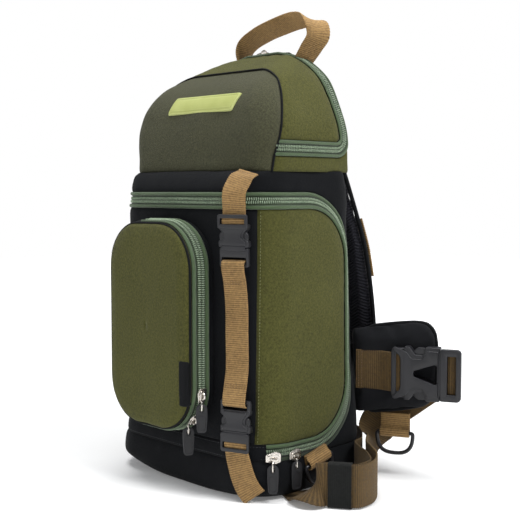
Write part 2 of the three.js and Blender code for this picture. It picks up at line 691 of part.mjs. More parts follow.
const wingFront = wingThickness / 2;
const beltOut = wingFront + clear + beltBuckleThickness / 2;
const beltPlace = new THREE.Matrix4()
  .makeBasis(alongZ, wingAlong.clone().negate(), wingFace)
  .setPosition(onWing(beltBuckleStart + beltBuckleLength / 2, beltOut, beltHeight));
const beltSlots = buckle(
  "belt_buckle", beltBuckleWidth, beltBuckleLength, beltBuckleThickness, beltWidth, beltPlace, true,
);
const beltMiddle = beltBuckleStart + beltBuckleLength / 2;
const socketSlot = beltMiddle - beltSlots.slotUp;
const catchSlot = beltMiddle - beltSlots.slotDown;
const beltFrame = (beltBuckleThickness * 0.62) / 2;
const webOnWing = (rows) => rows.map(([u, out]) => ({ at: onWing(u, out, beltHeight), across: alongZ }));
add(
  "belt_webbing",
  strip(
    webOnWing([
      [0, wingFront + onWeb],
      [12, wingFront + onWeb],
      [socketSlot - beltSlots.turn - 12, wingFront + onWeb * 1.5],
      [socketSlot - beltSlots.turn - webThickness, beltOut + beltFrame + onWeb],
      [socketSlot - webThickness, beltOut + beltFrame + onWeb],
      [socketSlot, beltOut],
    ]),
    beltWidth,
    webThickness,
  ),
  "tan_webbing",
);

// Two free lengths of belt webbing. The belt strap turns from the catch behind the wing and down to the
// floor, round a loop and through the keeper, and is sewn on under the bag's side. The rear strap's end lies
// inside the first in the keeper; it runs back past the bag's corner and behind it to the left wing.
const floorZ = beltWidth / 2 + keeperWall + clear; // middle of a strap that stands on its edge
const side = bodyWidth / 2;
const fall = rad(36);
const falling = wingAlong.clone().multiplyScalar(-Math.sin(fall)).setZ(Math.cos(fall));
const behindWing = -wingFront - onWeb;
const beltLeave = 14.5; // along the wing, where the strap passes under it, between bag and ring
const leftward = (p) => p.setX(-p.x);
const upright = (at) => ({ at, across: alongZ });

// The loop beyond the bag's right side, outer layer, from the back to the keeper; shares of loopReach.
const loopTable = [
  { beyond: 0.21, back: 0.86 },
  { beyond: 0.47, back: 0.64 },
  { beyond: 0.76, back: 0.4 },
  { beyond: 0.97, back: 0.09 },
  { beyond: 1.02, back: -0.12 },
  { beyond: 1.0, back: -0.29 },
  { beyond: 0.91, back: -0.36 },
  { beyond: 0.81, back: -0.425 },
  { beyond: 0.7, back: -0.49 },
  { beyond: 0.6, back: -0.54 },
];
const loopPlace = (row) => V(side + row.beyond * loopReach, row.back * loopReach, floorZ);
const outerLayer = loopTable.map(loopPlace);
const innerLayer = outerLayer.map((p, i) => {
  const from = outerLayer[Math.max(0, i - 1)];
  const to = outerLayer[Math.min(outerLayer.length - 1, i + 1)];
  const along = to.clone().sub(from).normalize();
  return p.clone().addScaledVector(V(along.y, -along.x, 0), strapFold);
});

// From the keeper to the bag the strap turns over until it lies flat.
const flatTable = [
  { beyond: 0.49, back: -0.56, up: 0.86, flat: 25 },
  { beyond: 0.36, back: -0.52, up: 0.56, flat: 62 },
  { beyond: 0.22, back: -0.42, up: 0.2, flat: 84 },
  { beyond: 0.08, back: -0.34, up: 0.08, flat: 90 },
  { beyond: -0.03, back: -0.3, up: 0.08, flat: 90 },
];
const flatEnd = flatTable.map((row) => {
  const a = rad(row.flat);
  return {
    at: loopPlace(row).setZ(row.up * floorZ),
    across: V(0.35 * Math.sin(a), 0.94 * Math.sin(a), Math.cos(a)),
  };
});
const beltStrap = strip(
  [
    upright(onWing(catchSlot, beltOut, beltHeight)),
    upright(onWing(catchSlot - 1, beltOut - beltFrame - 2, beltHeight)),
    upright(onWing(wingLength + 9, 0, beltHeight - 1)),
    { at: onWing(wingLength + 6, behindWing - 2, beltHeight - 4), across: falling },
    { at: onWing(wingLength - 8, behindWing - 4, beltHeight - 12), across: falling },
    { at: onWing(wingLength - 32, behindWing - 7, beltHeight - 30), across: falling },
    { at: onWing(wingLength - 54, behindWing - 8, beltHeight - 48), across: falling },
    { at: onWing(beltLeave + 2, behindWing, beltHeight - 66), across: V(-0.25, -0.1, 0.9) },
    upright(onWing(beltLeave, 2, floorZ + 8)),
    ...outerLayer.map(upright),
    ...flatEnd,
  ],
  beltWidth,
  webThickness,
);
add("belt_strap", beltStrap.subtract(bodyGrown), "tan_webbing");
const rearStrap = strip(
  [
    ...innerLayer.slice(3).toReversed().map(upright),
    upright(V(side + loopReach * 0.62, backDepth * 0.31, floorZ)),
    upright(V(side + loopReach * 0.36, backDepth * 0.45, floorZ)),
    upright(V(side + loopReach * 0.15, backDepth * 0.6, floorZ)),
    upright(V(side + loopReach * 0.08, backDepth * 0.8, floorZ)),
    upright(V(side - loopReach * 0.09, backDepth * 0.97, floorZ)),
    upright(V(side - loopReach * 0.22, backDepth * 1.13, floorZ)),
    upright(V(side - loopReach * 0.5, backDepth * 1.3, floorZ)),
    upright(V(side * 0.4, backDepth * 1.5, floorZ)),
    upright(V(-side * 0.3, backDepth * 1.54, floorZ)),
    upright(V(-side, backDepth * 1.62, floorZ)),
    upright(V(-side - wingLength * 0.5, backDepth * 1.84, floorZ + 4)),
    upright(leftward(onWing(wingLength - 2, behindWing - 34, floorZ + 20))),
    upright(leftward(onWing(wingLength + 10, behindWing - 18, beltHeight - 32))),
    upright(leftward(onWing(wingLength + 2, behindWing - 9, beltHeight - 10))),
    upright(leftward(onWing(wingLength - 12, behindWing - 3, beltHeight))),
    upright(leftward(onWing(wingLength - 32, behindWing, beltHeight))),
  ],
  beltWidth,
  webThickness,
);
add("belt_strap_rear", rearStrap, "tan_webbing");

const keeperFrom = outerLayer[6].clone().add(innerLayer[6]).divideScalar(2);
const keeperTo = outerLayer[8].clone().add(innerLayer[8]).divideScalar(2);
const keeperAlong = keeperTo.clone().sub(keeperFrom).normalize();
const keeperPlace = new THREE.Matrix4()
  .makeBasis(alongZ.clone().cross(keeperAlong), alongZ, keeperAlong.clone().negate())
  .setPosition(keeperFrom.clone().add(keeperTo).divideScalar(2));
const sleeve = (grow) => {
  const x = strapFold / 2 + webThickness / 2 + keeperSlack + grow;
  const y = beltWidth / 2 + clear / 2 + grow;
  return extrude(roundedRectangle(-x, -y, x, y, [1, 1, 1, 1]), keeperLength + grow).translate([
    0, 0, -(keeperLength + grow) / 2,
  ]);
};
const keeperTube = sleeve(keeperWall).subtract(sleeve(0).scale([1, 1, 2]));
add("strap_keeper", keeperTube.transform(keeperPlace.elements), "black_elastic");

// D-rings in webbing loops; drawn hanging down from a bar along X, with the face to +Z

function dRing(name, place, loopUp) {
  const half = ringInside / 2 + ringWire / 2;
  const r = ringWire / 2;
  const bow = toSolid(new THREE.TorusGeometry(half, r, 7, 22))
    .scale([1, (ringDrop - r) / half, 1])
    .intersect(block([-half * 2, -half * 2, -half], [half * 2, 0, half]));
  const bar = toSolid(new THREE.CylinderGeometry(r, r, 2 * half, 10).rotateZ(Math.PI / 2));
  add(name, bow.add(bar).transform(place.elements), "black_plastic");
  const inner = r + clear;
  const outer = inner + webThickness;
  const profile = new THREE.Shape();
  profile.moveTo(-outer, loopUp);
  profile.lineTo(-outer, 0);
  profile.absarc(0, 0, outer, Math.PI, Math.PI * 2);
  profile.lineTo(outer, inner);
  profile.lineTo(-outer + 2 * webThickness, inner + 2 * webThickness);
  profile.lineTo(-outer + 2 * webThickness, loopUp);
  profile.closePath();
  profile.holes.push(new THREE.Path().absarc(0, 0, inner, 0, Math.PI * 2));
  const standing = new THREE.Matrix4().makeBasis(V(0, 0, 1), V(0, 1, 0), V(-1, 0, 0));
  const web = extrude(profile, ringWeb, { curveSegments: 4 }).translate([0, 0, -ringWeb / 2]);
  add(name + "_loop", web.transform(standing.elements).transform(place.elements), "tan_webbing");
}

const tilt = rad(sideRingTilt);
const ringOut = ringWire / 2 + clear + webThickness + seam;
const sideRingPlace = new THREE.Matrix4()
  .makeBasis(V(0, Math.cos(tilt), Math.sin(tilt)), V(0, -Math.sin(tilt), Math.cos(tilt)), V(1, 0, 0))
  .setPosition(onSide(sideRingAt, zipBottom, ringOut).setZ(sideRingBar));
dRing("side_ring", sideRingPlace, sideLoop);
const wingEdge = wingMiddle - wingHeight / 2 + (wingRise * beltRingAt) / wingLength;
const beltRingPlace = new THREE.Matrix4()
  .makeBasis(wingAlong, alongZ, wingFace)
  .setPosition(onWing(beltRingAt, 0, wingEdge - 2.2 - beltLoop));
dRing("belt_ring", beltRingPlace, beltLoop);

// Zip sliders and pulls; drawn flat with the zip's run along Y and the face to +Z

function slider(name, place) {
  const [w, l] = [sliderWidth / 2, sliderLength / 2];
  const shape = new THREE.Shape();
  shape.moveTo(-w * 0.6, -l);
  shape.lineTo(w * 0.6, -l);
  shape.lineTo(w, l * 0.3);
  shape.lineTo(w * 0.7, l);
  shape.lineTo(-w * 0.7, l);
  shape.lineTo(-w, l * 0.3);
  shape.closePath();
  const bridge = toSolid(new THREE.TorusGeometry(w * 0.62, 1, 5, 10).rotateY(Math.PI / 2));
  const body = extrude(shape, sliderThickness / 2);
  const above = block([-w, -l, 1], [w, l, sliderThickness * 2]);
  const front = bridge.translate([0, 0, sliderThickness / 2]).intersect(above);
  add(name, body.add(front).transform(place.elements), "slider_metal");
}

function pull(name, place) {
  const w = pullWidth / 2;
  const plate = extrude(roundedRectangle(-w, -pullLength, w, 0, [w * 0.6, w * 0.6, w, w]), pullThickness);
  const hole = extrude(new THREE.Shape().absarc(0, -w, w * 0.4, 0, Math.PI * 2), pullThickness * 3);
  add(name, plate.subtract(hole.translate([0, 0, -pullThickness])).transform(place.elements), "pull_rubber");
}

// A place on the right side, or on the corner in front of it, y behind the middle.
function onSideOrCorner(y, z) {
  const outline = bodyOutline(z);
  const r = outline.frontCorner;
  const past = Math.max(0, Math.min(1, (r - outline.front - y) / r));
  const n = V(Math.sqrt(1 - past ** 2), -past, 0);
  const point = crowned(outline, outline.half - r * (1 - n.x), y, n.x, n.y).setZ(z);
  return { point, normal: n, run: V(-n.y, n.x, 0) };
}
mainSliders.forEach((y, i) => {
  const z = zipBottom - 4;
  const seat = onSideOrCorner(y, z);
  slider(
    "main_slider_" + (i + 1),
    new THREE.Matrix4()
      .makeBasis(V(0, 0, -1), seat.run, seat.normal)
      .setPosition(seat.point.clone().addScaledVector(seat.normal, 3 * seam)),
  );
  const reach = (height) => onSideOrCorner(y, height).point.sub(seat.point).dot(seat.normal);
  const out = clear + Math.max(0, reach(zipBottom / 2), reach(baseRadius));
  pull(
    "main_pull_" + (i + 1),
    new THREE.Matrix4()
      .makeBasis(seat.run, alongZ, seat.normal)
      .setPosition(seat.point.clone().addScaledVector(seat.normal, out).setZ(z - sliderWidth / 2 - 0.5)),
  );
});
pocketSliders.forEach((z, i) => {
  const lean = Math.asin(Math.max(0, (pocketBottom + pocketCorner - z) / pocketCorner));
  const n = V(Math.cos(lean), 0, -Math.sin(lean));
  const run = V(Math.sin(lean), 0, Math.cos(lean));
  const seatOut = lean > 0 ? 0 : 2 * seam;
  const seatX = pocketRight - pocketCorner * (1 - Math.cos(lean)) + seatOut;
  const at = V(seatX, (pocketZipFront + pocketZipBack) / 2, z);
  const end = at.clone().addScaledVector(run, -sliderLength / 2).addScaledVector(n, sliderThickness / 2);
  slider("pocket_slider_" + (i + 1), new THREE.Matrix4().makeBasis(V(0, 1, 0), run, n).setPosition(at));
  pull(
    "pocket_pull_" + (i + 1),
    new THREE.Matrix4()
      .makeBasis(V(0, 1, 0), alongZ, alongX)
      .setPosition(end.add(V(-pullThickness / 2, -4 * i, -0.4))),
  );
});
const topZipAt = hoodZipRear - hoodZipLean * (hoodHeight - hoodZipHeight);
slider(
  "hood_slider",
  new THREE.Matrix4()
    .makeBasis(V(0, -1, 0), alongX, alongZ)
    .setPosition(hoodSliderAt, topZipAt, hoodBase + hoodHeight + seam),
);

// Badge on the hood and tab on the pocket: thin skins of the surface that they are sewn to
const [badgeX, badgeUp] = badgeMiddle;
const badgeShape = new THREE.Shape();
const badgeZ = hoodBase + badgeUp;
badgeShape.moveTo(badgeX - badgeLength / 2 - badgeSlant / 2, badgeZ - badgeHeight / 2);
badgeShape.lineTo(badgeX + badgeLength / 2 - badgeSlant / 2, badgeZ - badgeHeight / 2);
badgeShape.lineTo(badgeX + badgeLength / 2 + badgeSlant / 2, badgeZ + badgeHeight / 2);
badgeShape.lineTo(badgeX - badgeLength / 2 + badgeSlant / 2, badgeZ + badgeHeight / 2);
badgeShape.closePath();
const hoodProud = loft(
  hoodHeights.map((z) => ring(hoodOutline(z, -seam - badgeThickness), hoodBase + z, 3, 3)),
);
add("hood_badge", hoodProud.subtract(hoodGrown).intersect(prismY(badgeShape, -wide, 0)), "badge_rubber");

const pocketGrown = (grow) => loft(pocketTable.map((row) => pocketRing(row, -grow)));
const tabRight = pocketRight - 4;
const tabBlock = block(
  [tabRight - tabWidth, -wide, tabHeight - tabLength / 2],
  [tabRight, pocketZipFront, tabHeight + tabLength / 2],
);
add("pocket_tab", pocketGrown(seam + 1).subtract(pocketGrown(seam)).intersect(tabBlock), "black_fabric");

// Carrying handle on the hood, and the shoulder strap

// Rows run along the handle from its left foot: across and up are shares of handleReach and handleRise
// from the middle of the hood's top, and turn is how far the webbing twists to the side.
const handleTable = [
  { across: -0.56, up: -0.22, turn: -0.2 },
  { across: -0.58, up: 0.15, turn: -0.2 },
  { across: -0.5, up: 0.41, turn: -0.2 },
  { across: -0.18, up: 0.71, turn: -0.1 },
  { across: 0.22, up: 0.9, turn: 0 },
  { across: 0.58, up: 1.0, turn: 0.2 },
  { across: 0.8, up: 0.98, turn: 0.35 },
  { across: 0.97, up: 0.73, turn: 0.45 },
  { across: 1.0, up: 0.44, turn: 0.45 },
  { across: 0.86, up: 0.1, turn: 0.4 },
  { across: 0.7, up: -0.24, turn: 0.3 },
];
const handle = strip(
  handleTable.map((row) => ({
    at: V(row.across * handleReach, hoodBack - handleSet, hoodBase + hoodHeight + row.up * handleRise),
    across: V(row.turn, 1, 0),
  })),
  strapWidth,
  webThickness,
);
add("handle", handle.subtract(hoodGrown), "tan_webbing");

// Rows run from the hood's back down to the strap's lower end; up is a share of the bag's whole height,
// back is how far behind the back face, as a share of shoulderReach, and across is a share of bodyWidth / 2.
const wholeHeight = hoodBase + hoodHeight;
const shoulderTable = [
  { across: 0.13, up: 0.955, back: 0, share: 0.7 },
  { across: 0.16, up: 0.92, back: 0.02, share: 0.9 },
  { across: 0.2, up: 0.85, back: 0.1, share: 1 },
  { across: 0.25, up: 0.76, back: 0.32, share: 1 },
  { across: 0.31, up: 0.67, back: 0.54, share: 1 },
  { across: 0.36, up: 0.6, back: 0.69, share: 1 },
  { across: 0.41, up: 0.53, back: 0.81, share: 1 },
  { across: 0.44, up: 0.46, back: 0.89, share: 1 },
  { across: 0.46, up: 0.39, back: 0.95, share: 1 },
  { across: 0.48, up: 0.33, back: 0.97, share: 0.98 },
  { across: 0.49, up: 0.28, back: 0.95, share: 0.7 },
];
const shoulderNear = hoodBack + shoulderThickness / 2 + 3; // where the strap starts
const shoulderAt = (row) =>
  V((row.across * bodyWidth) / 2, shoulderNear + row.back * shoulderReach, row.up * wholeHeight);
const shoulderRows = shoulderTable.map((row) => ({ at: shoulderAt(row), across: alongX, share: row.share }));
add(
  "shoulder_strap",
  strip(shoulderRows, shoulderWidth, shoulderThickness, 2).subtract(hoodGrown),
  "black_mesh",
);

// Webbing on the strap's outer face, and the webbing from its lower end to the bag's corner
const behindStrap = shoulderThickness / 2 + onWeb;
const trimOffset = V(shoulderWidth / 2 - strapWidth / 2, behindStrap, 0);
const trimRows = shoulderTable
  .slice(5, 8)
  .map((row) => ({ at: shoulderAt(row).add(trimOffset), across: alongX }));
add("shoulder_strap_trim", strip(trimRows, strapWidth, webThickness), "tan_webbing");
const lowest = shoulderAt(shoulderTable.at(-1));
const anchor = V(bodyWidth / 2 - lowerWebInset, backDepth + 2 * onWeb, lowerWebLift);
add(
  "shoulder_lower_webbing",
  strip(
    [
      { at: lowest.clone().add(V(-1, behindStrap + 3.5, strapWidth * 0.75)), across: alongX },
      { at: lowest.clone().add(V(0, behindStrap + 1, strapWidth * 0.17)), across: alongX },
      { at: lowest.clone().add(V(4, behindStrap - 4, -strapWidth * 0.58)), across: alongX },
      { at: lowest.clone().lerp(anchor, 0.5).add(V(0, 4, 0)), across: alongX },
      { at: anchor.clone().add(V(-1, 3, strapWidth / 2)), across: alongX },
      { at: anchor, across: alongX },
    ],
    strapWidth,
    webThickness,
  ).subtract(bodyGrown),
  "black_webbing",
);

export default bag;
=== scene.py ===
"""Fishing tackle sling bag: the looks of every piece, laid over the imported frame.

Sizes are millimetres in the part's frame until a mesh is made. X runs across, -Y is the front, +Z is up.
"""
import math

import bmesh
import bpy
import numpy as np
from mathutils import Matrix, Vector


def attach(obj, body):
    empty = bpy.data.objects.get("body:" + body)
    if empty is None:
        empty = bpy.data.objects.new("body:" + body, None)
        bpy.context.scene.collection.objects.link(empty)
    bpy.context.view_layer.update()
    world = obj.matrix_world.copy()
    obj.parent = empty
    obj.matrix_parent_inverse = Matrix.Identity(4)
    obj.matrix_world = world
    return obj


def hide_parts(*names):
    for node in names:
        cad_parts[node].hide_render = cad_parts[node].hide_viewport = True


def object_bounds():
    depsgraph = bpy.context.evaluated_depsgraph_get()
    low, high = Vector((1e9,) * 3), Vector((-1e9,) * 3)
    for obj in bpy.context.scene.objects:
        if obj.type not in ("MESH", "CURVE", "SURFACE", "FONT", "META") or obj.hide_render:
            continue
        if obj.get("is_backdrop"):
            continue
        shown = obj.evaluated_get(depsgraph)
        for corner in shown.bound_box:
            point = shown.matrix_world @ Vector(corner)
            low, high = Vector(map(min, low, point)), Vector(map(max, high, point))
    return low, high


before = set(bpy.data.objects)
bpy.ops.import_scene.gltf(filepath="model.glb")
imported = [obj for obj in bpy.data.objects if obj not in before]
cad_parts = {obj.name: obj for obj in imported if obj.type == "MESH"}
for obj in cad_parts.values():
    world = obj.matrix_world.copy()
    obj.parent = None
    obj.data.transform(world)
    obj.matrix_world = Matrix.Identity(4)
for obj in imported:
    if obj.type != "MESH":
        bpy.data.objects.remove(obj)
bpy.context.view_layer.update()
scene = bpy.context.scene
MM = 0.001

# Driving sizes, as the frame has them

body_height, body_half = 309, 109
front_depth, back_depth = 78, 79
front_corner, back_corner, base_radius = 40, 30, 8
shoulder_height, shoulder_inset, bulge = 17, 10, 4
coil_share, coil_pitch = 0.44, 2.1
zip_half, zip_top, zip_bottom, zip_rear, zip_corner = 8, 282, 46, 50, 60
hinge_reach, side_seam, base_seam = 62, 94.5, 38
hood_base, hood_height, hood_half, hood_front, hood_back = 309.3, 124, 102, 60, 62
hood_zip_half, hood_zip_height, hood_zip_rear, hood_zip_corner, hood_zip_lean = 7.5, 22, 51, 14, 0.09
pocket_left, pocket_right, pocket_bottom, pocket_top = -75, 51, 59, 263
pocket_depth, pocket_corner, pocket_crown = 34, 46, 6
pocket_zip_width = 19
pocket_zip_front = -(front_depth + pocket_depth * 0.84)
pocket_zip_back, pocket_hinge = pocket_zip_front + pocket_zip_width, pocket_left + pocket_corner * 1.05
patch_across, patch_up, patch_half_width, patch_half_height, patch_slant = 9, 66, 47, 8.5, 6
tab_inset, tab_height, tab_half_width, tab_half_height = 9, 110, 5, 21.5
web, strap_width, belt_width, clear = 1.8, 24, 40, 0.6
on_web = clear + web / 2
strap_angle = 18
buckle_width, buckle_length, buckle_thickness = 31, 49, 8
upper_buckle, lower_buckle = 245, 72
wing_length, wing_height, wing_thickness, wing_middle, wing_rise = 82, 92, 13, 107.5, 12
belt_height, belt_buckle_start = 110, 38
belt_buckle_width, belt_buckle_length, belt_buckle_thickness = 54, 70, 12
strap_fold, loop_reach = 4, 70
ring_wire, ring_web, ring_inside, ring_drop = 4, 30, 33, 23
side_ring_back, side_ring_height, side_ring_tilt = -6, 32, 14
belt_yaw, belt_ring_along, belt_ring_below = 25, 39, 22.2
handle_reach, handle_rise, handle_set = 68, 41, 15
shoulder_width, shoulder_thickness, shoulder_reach = 72, 11, 48

# Outlines as shares of the sizes above, at shares of the height or of the depth

BODY = {
    "at": (0, 0.08, 0.17, 0.4, 0.7, 0.9, 1),
    "half": (1.03, 1.025, 1, 0.985, 0.975, 0.965, 0.955),
    "front": (1.05, 1.05, 1, 0.99, 0.985, 0.99, 0.99),
    "back": (1, 1, 1, 0.975, 0.93, 0.86, 0.79),
}
HOOD = {
    "at": (0, 0.1, 0.24, 0.38, 0.53, 0.67, 0.77, 0.87, 0.95, 1),
    "half": (0.98, 0.98, 0.985, 0.965, 0.905, 0.83, 0.755, 0.62, 0.45, 0.27),
    "front": (1, 0.99, 0.99, 0.97, 0.9, 0.68, 0.38, 0.03, -0.3, -0.62),
    "back": (1, 1, 0.98, 0.95, 0.92, 0.92, 0.9, 0.88, 0.87, 0.86),
}
PANEL_EDGE = {
    "front": (0.83, 0.785, 0.72, 0.635, 0.52, 0.43, 0.32, 0.2, 0.05),
    "up": (0, 0.14, 0.25, 0.4, 0.55, 0.67, 0.77, 0.83, 0.87),
}
POCKET = {"out": (-0.6, 0.55, 0.86, 0.96, 1), "draw": (0, 0, 0.35, 1.1, 2.6)}


# Vector help

def vec(*values):
    return np.array(values, float)


def unit(v):
    return v / np.maximum(np.linalg.norm(v, axis=-1, keepdims=True), 1e-9)


def eased(x):
    x = np.clip(x, 0, 1)
    return x * x * (3 - 2 * x)


def ripple(points, size, seed):
    """Smooth seeded unevenness from -1 to 1 at points, its swells about size apart."""
    draw = np.random.default_rng(seed)
    total = 0
    for _ in range(9):
        wave = unit(draw.normal(size=3)) * 2 * math.pi / (size * draw.uniform(0.7, 1.5))
        total = total + np.sin(points @ wave + draw.uniform(0, 6.28))
    return total / 4.5


# Skins: surfaces that are cut into panels

class Skin:
    """A surface: polygons over points, with values kept at every point."""

    def __init__(self, faces, **values):
        self.faces = faces
        self.values = values

    def __getitem__(self, name):
        return self.values[name]

    def with_normals(self):
        at = self["at"]
        out = np.zeros_like(at)
        for face in self.faces:
            a, b, c = at[face[0]], at[face[1]], at[face[-2] if len(face) > 3 else face[2]]
            d = at[face[-1]]
            out[face] += np.cross(c - a, d - b) if len(face) > 3 else np.cross(b - a, c - a)
        self.values["out"] = unit(out)
        return self

    def cut(self, field, level=0.0, above=False):
        """What lies below the level of a field, or above it."""
        s = (self[field] - level) * (1 if above else -1)
        inside = s >= 0
        pairs, made, faces = [], {}, []
        first = len(s)

        def crossing(i, j):
            key = (min(i, j), max(i, j))
            if key not in made:
                made[key] = first + len(pairs)
                pairs.append(key)
            return made[key]

        for face in self.faces:
            flags = [inside[i] for i in face]
            if all(flags):
                faces.append(face)
            elif any(flags):
                kept = []
                for i, j in zip(face, face[1:] + face[:1]):
                    if inside[i]:
                        kept.append(i)
                    if inside[i] != inside[j]:
                        kept.append(crossing(i, j))
                if len(kept) > 2:
                    faces.append(kept)
        pairs = np.array(pairs, int).reshape(-1, 2)
        a, b = pairs[:, 0], pairs[:, 1]
        t = s[a] / (s[a] - s[b] + 1e-12)
        values = {}
        for name, value in self.values.items():
            share = t[:, None] if value.ndim > 1 else t
            values[name] = np.concatenate([value, value[a] * (1 - share) + value[b] * share])
        used = np.unique(np.concatenate([np.array(face) for face in faces]))
        place = np.full(len(values["at"]), -1)
        place[used] = np.arange(len(used))
        faces = [[int(place[i]) for i in face] for face in faces]
        return Skin(faces, **{name: value[used] for name, value in values.items()})

    def refined(self, times=1):
        """Every polygon becomes one quad for each of its corners."""
        skin = self
        for _ in range(times):
            count = len(skin["at"])
            mids, middles, faces = {}, [], []
            for face in skin.faces:
                for i, j in zip(face, face[1:] + face[:1]):
                    mids.setdefault((min(i, j), max(i, j)), count + len(mids))
            centre = count + len(mids)
            for face in skin.faces:
                middles.append(face)
                for n, i in enumerate(face):
                    before, after = face[n - 1], face[(n + 1) % len(face)]
                    mid_after = mids[(min(i, after), max(i, after))]
                    mid_before = mids[(min(i, before), max(i, before))]
                    faces.append([i, mid_after, centre, mid_before])
                centre += 1
            ends = np.array(list(mids), int)
            values = {}
            for name, value in skin.values.items():
                centres = np.array([value[face].mean(axis=0) for face in middles])
                values[name] = np.concatenate([value, (value[ends[:, 0]] + value[ends[:, 1]]) / 2, centres])
            values["out"] = unit(values["out"])
            skin = Skin(faces, **values)
        return skin

    def contour(self, field, level=0.0):
        """Lines where a field has a level: a list of (points, outward directions)."""
        s = self[field] - level
        ends, links = {}, {}
        for face in self.faces:
            hits = []
            for i, j in zip(face, face[1:] + face[:1]):
                if (s[i] >= 0) != (s[j] >= 0):
                    key = (min(i, j), max(i, j))
                    t = s[key[0]] / (s[key[0]] - s[key[1]])
                    ends[key] = t
                    hits.append(key)
            for a, b in zip(hits[::2], hits[1::2]):
                links.setdefault(a, []).append(b)
                links.setdefault(b, []).append(a)
        lines, seen = [], set()
        for start in sorted(links, key=lambda key: len(links[key])):
            if start in seen:
                continue
            line, key = [], start
            while key is not None:
                seen.add(key)
                line.append(key)
                key = next((k for k in links[key] if k not in seen), None)
            if len(links[start]) == 2 and start in links[line[-1]] and len(line) > 2:
                line.append(start)
            t = np.array([ends[key] for key in line])[:, None]
            i, j = np.array(line).T
            at = self["at"][i] * (1 - t) + self["at"][j] * t
            out = unit(self["out"][i] * (1 - t) + self["out"][j] * t)
            if len(line) > 3:
                lines.append((at, out))
        return lines


def ring_faces(count, rings, closed=False, first=0):
    """Quads between rings of as many points, each ring joined to the next."""
    faces = []
    for i in range(rings if closed else rings - 1):
        a, b = first + i * count, first + ((i + 1) % rings) * count
        faces += [[a + k, a + (k + 1) % count, b + (k + 1) % count, b + k] for k in range(count)]
    return faces


def end_faces(count, rings, first=0):
    """The two flat ends of a run of rings."""
    last = first + (rings - 1) * count
    return [[first + k for k in reversed(range(count))], [last + k for k in range(count)]]


def lofted(rows, **fields):
    """A skin through closed rows of points, all with the same count."""
    count = len(rows[0])
    faces = ring_faces(count, len(rows))
    widest = max(rows, key=lambda row: np.ptp(row[:, 0]))
    steps = np.linalg.norm(np.roll(widest, -1, axis=0) - widest, axis=1)
    round_ = np.concatenate([[0], np.cumsum(steps)[:-1]])
    up = [0.0]
    for a, b in zip(rows, rows[1:]):
        up.append(up[-1] + float(np.linalg.norm(b - a, axis=1).mean()))
    at = np.concatenate(rows)
    weave = np.stack([np.tile(round_, len(rows)), np.repeat(up, count)], axis=1)
    return Skin(faces, at=at, weave=weave, **fields).with_normals()


def read(table, column, at):
    """A table's column at one place, smooth between its rows and flat at its ends."""
    place, value = np.array(table["at"], float), np.array(table[column], float)
    slope = np.zeros(len(place))
    slope[1:-1] = (value[2:] - value[:-2]) / (place[2:] - place[:-2])
    j = min(len(place) - 2, max(0, int(np.searchsorted(place, at, side="right")) - 1))
    span = place[j + 1] - place[j]
    t = min(1.0, max(0.0, (at - place[j]) / span))
    rise = (value[j + 1] - value[j]) * t * t * (3 - 2 * t)
    return float(value[j] + rise + span * t * (1 - t) * ((1 - t) * slope[j] - t * slope[j + 1]))


def body_outline(z):
    share = z / body_height
    low = max(0.0, base_radius - z)
    rounding = base_radius - math.sqrt(max(0.0, base_radius**2 - low**2))
    high = max(0.0, z - (body_height - shoulder_height)) / shoulder_height
    slope = shoulder_inset * (1 - math.sqrt(max(0.0, 1 - high**1.6)))
    return {
        "half": read(BODY, "half", share) * body_half - rounding,
        "front": read(BODY, "front", share) * front_depth - rounding - slope,
        "back": read(BODY, "back", share) * back_depth - rounding,
        "rf": max(6.0, front_corner - rounding * 0.5 - slope * 0.6),
        "rb": max(6.0, back_corner - rounding * 0.5),
        "bulge": bulge * min(1.0, z / zip_bottom) * (1 - high),
    }


def hood_outline(height):
    share = height / hood_height
    front, back = read(HOOD, "front", share) * hood_front, read(HOOD, "back", share) * hood_back
    most = (front + back) * 0.49
    half = read(HOOD, "half", share) * hood_half
    crown = bulge * max(0.0, 1 - share * 1.2)
    return {"half": half, "front": front, "back": back, "rf": min(22, most), "rb": min(10, most), "bulge": crown}


def crowned(o, x, y, nx, ny):
    """A point of an outline, moved out by the crown of its side."""
    across = 1 - min(1.0, (x / o["half"]) ** 2)
    middle = (o["back"] - o["front"]) / 2
    along = 1 - min(1.0, ((y - middle) / ((o["back"] + o["front"]) / 2)) ** 2)
    deep = o["bulge"] * (1 if ny < 0 else 0.5)
    return vec(x + nx * o["bulge"] * along, y + ny * deep * across, 0)


def outline_row(o, z, corner_steps, side_steps):
    """One closed row of points round an outline, anticlockwise from the middle of the back."""
    h, f, b, rf, rb = o["half"], o["front"], o["back"], o["rf"], o["rb"]
    corners = [(h - rf, rf - f, rf, -90), (h - rb, b - rb, rb, 0),
               (rb - h, b - rb, rb, 90), (rf - h, rf - f, rf, 180)]
    points = []
    for i, (cx, cy, r, start) in enumerate(corners):
        for k in range(corner_steps + 1):
            a = math.radians(start + 90 * k / corner_steps)
            points.append(crowned(o, cx + r * math.cos(a), cy + r * math.sin(a), math.cos(a), math.sin(a)))
        nx2, ny2, r2, _ = corners[(i + 1) % 4]
        a = math.radians(start + 90)
        n = vec(math.cos(a), math.sin(a))
        begin, end = vec(cx, cy) + r * n, vec(nx2, ny2) + r2 * n
        for k in range(1, side_steps[i]):
            x, y = begin + (end - begin) * k / side_steps[i]
            points.append(crowned(o, x, y, n[0], n[1]))
    row = np.array(points)
    row[:, 2] = z
    return np.roll(row, -(2 * corner_steps + 2 + side_steps[0] + side_steps[1] // 2), axis=0)


def shrunk(row, shares, rise=0.0):
    """Rows that close an end: the given row drawn in to its middle."""
    middle = row.mean(axis=0)
    return [middle + (row - middle) * s + vec(0, 0, rise * (1 - s * s)) for s in shares]


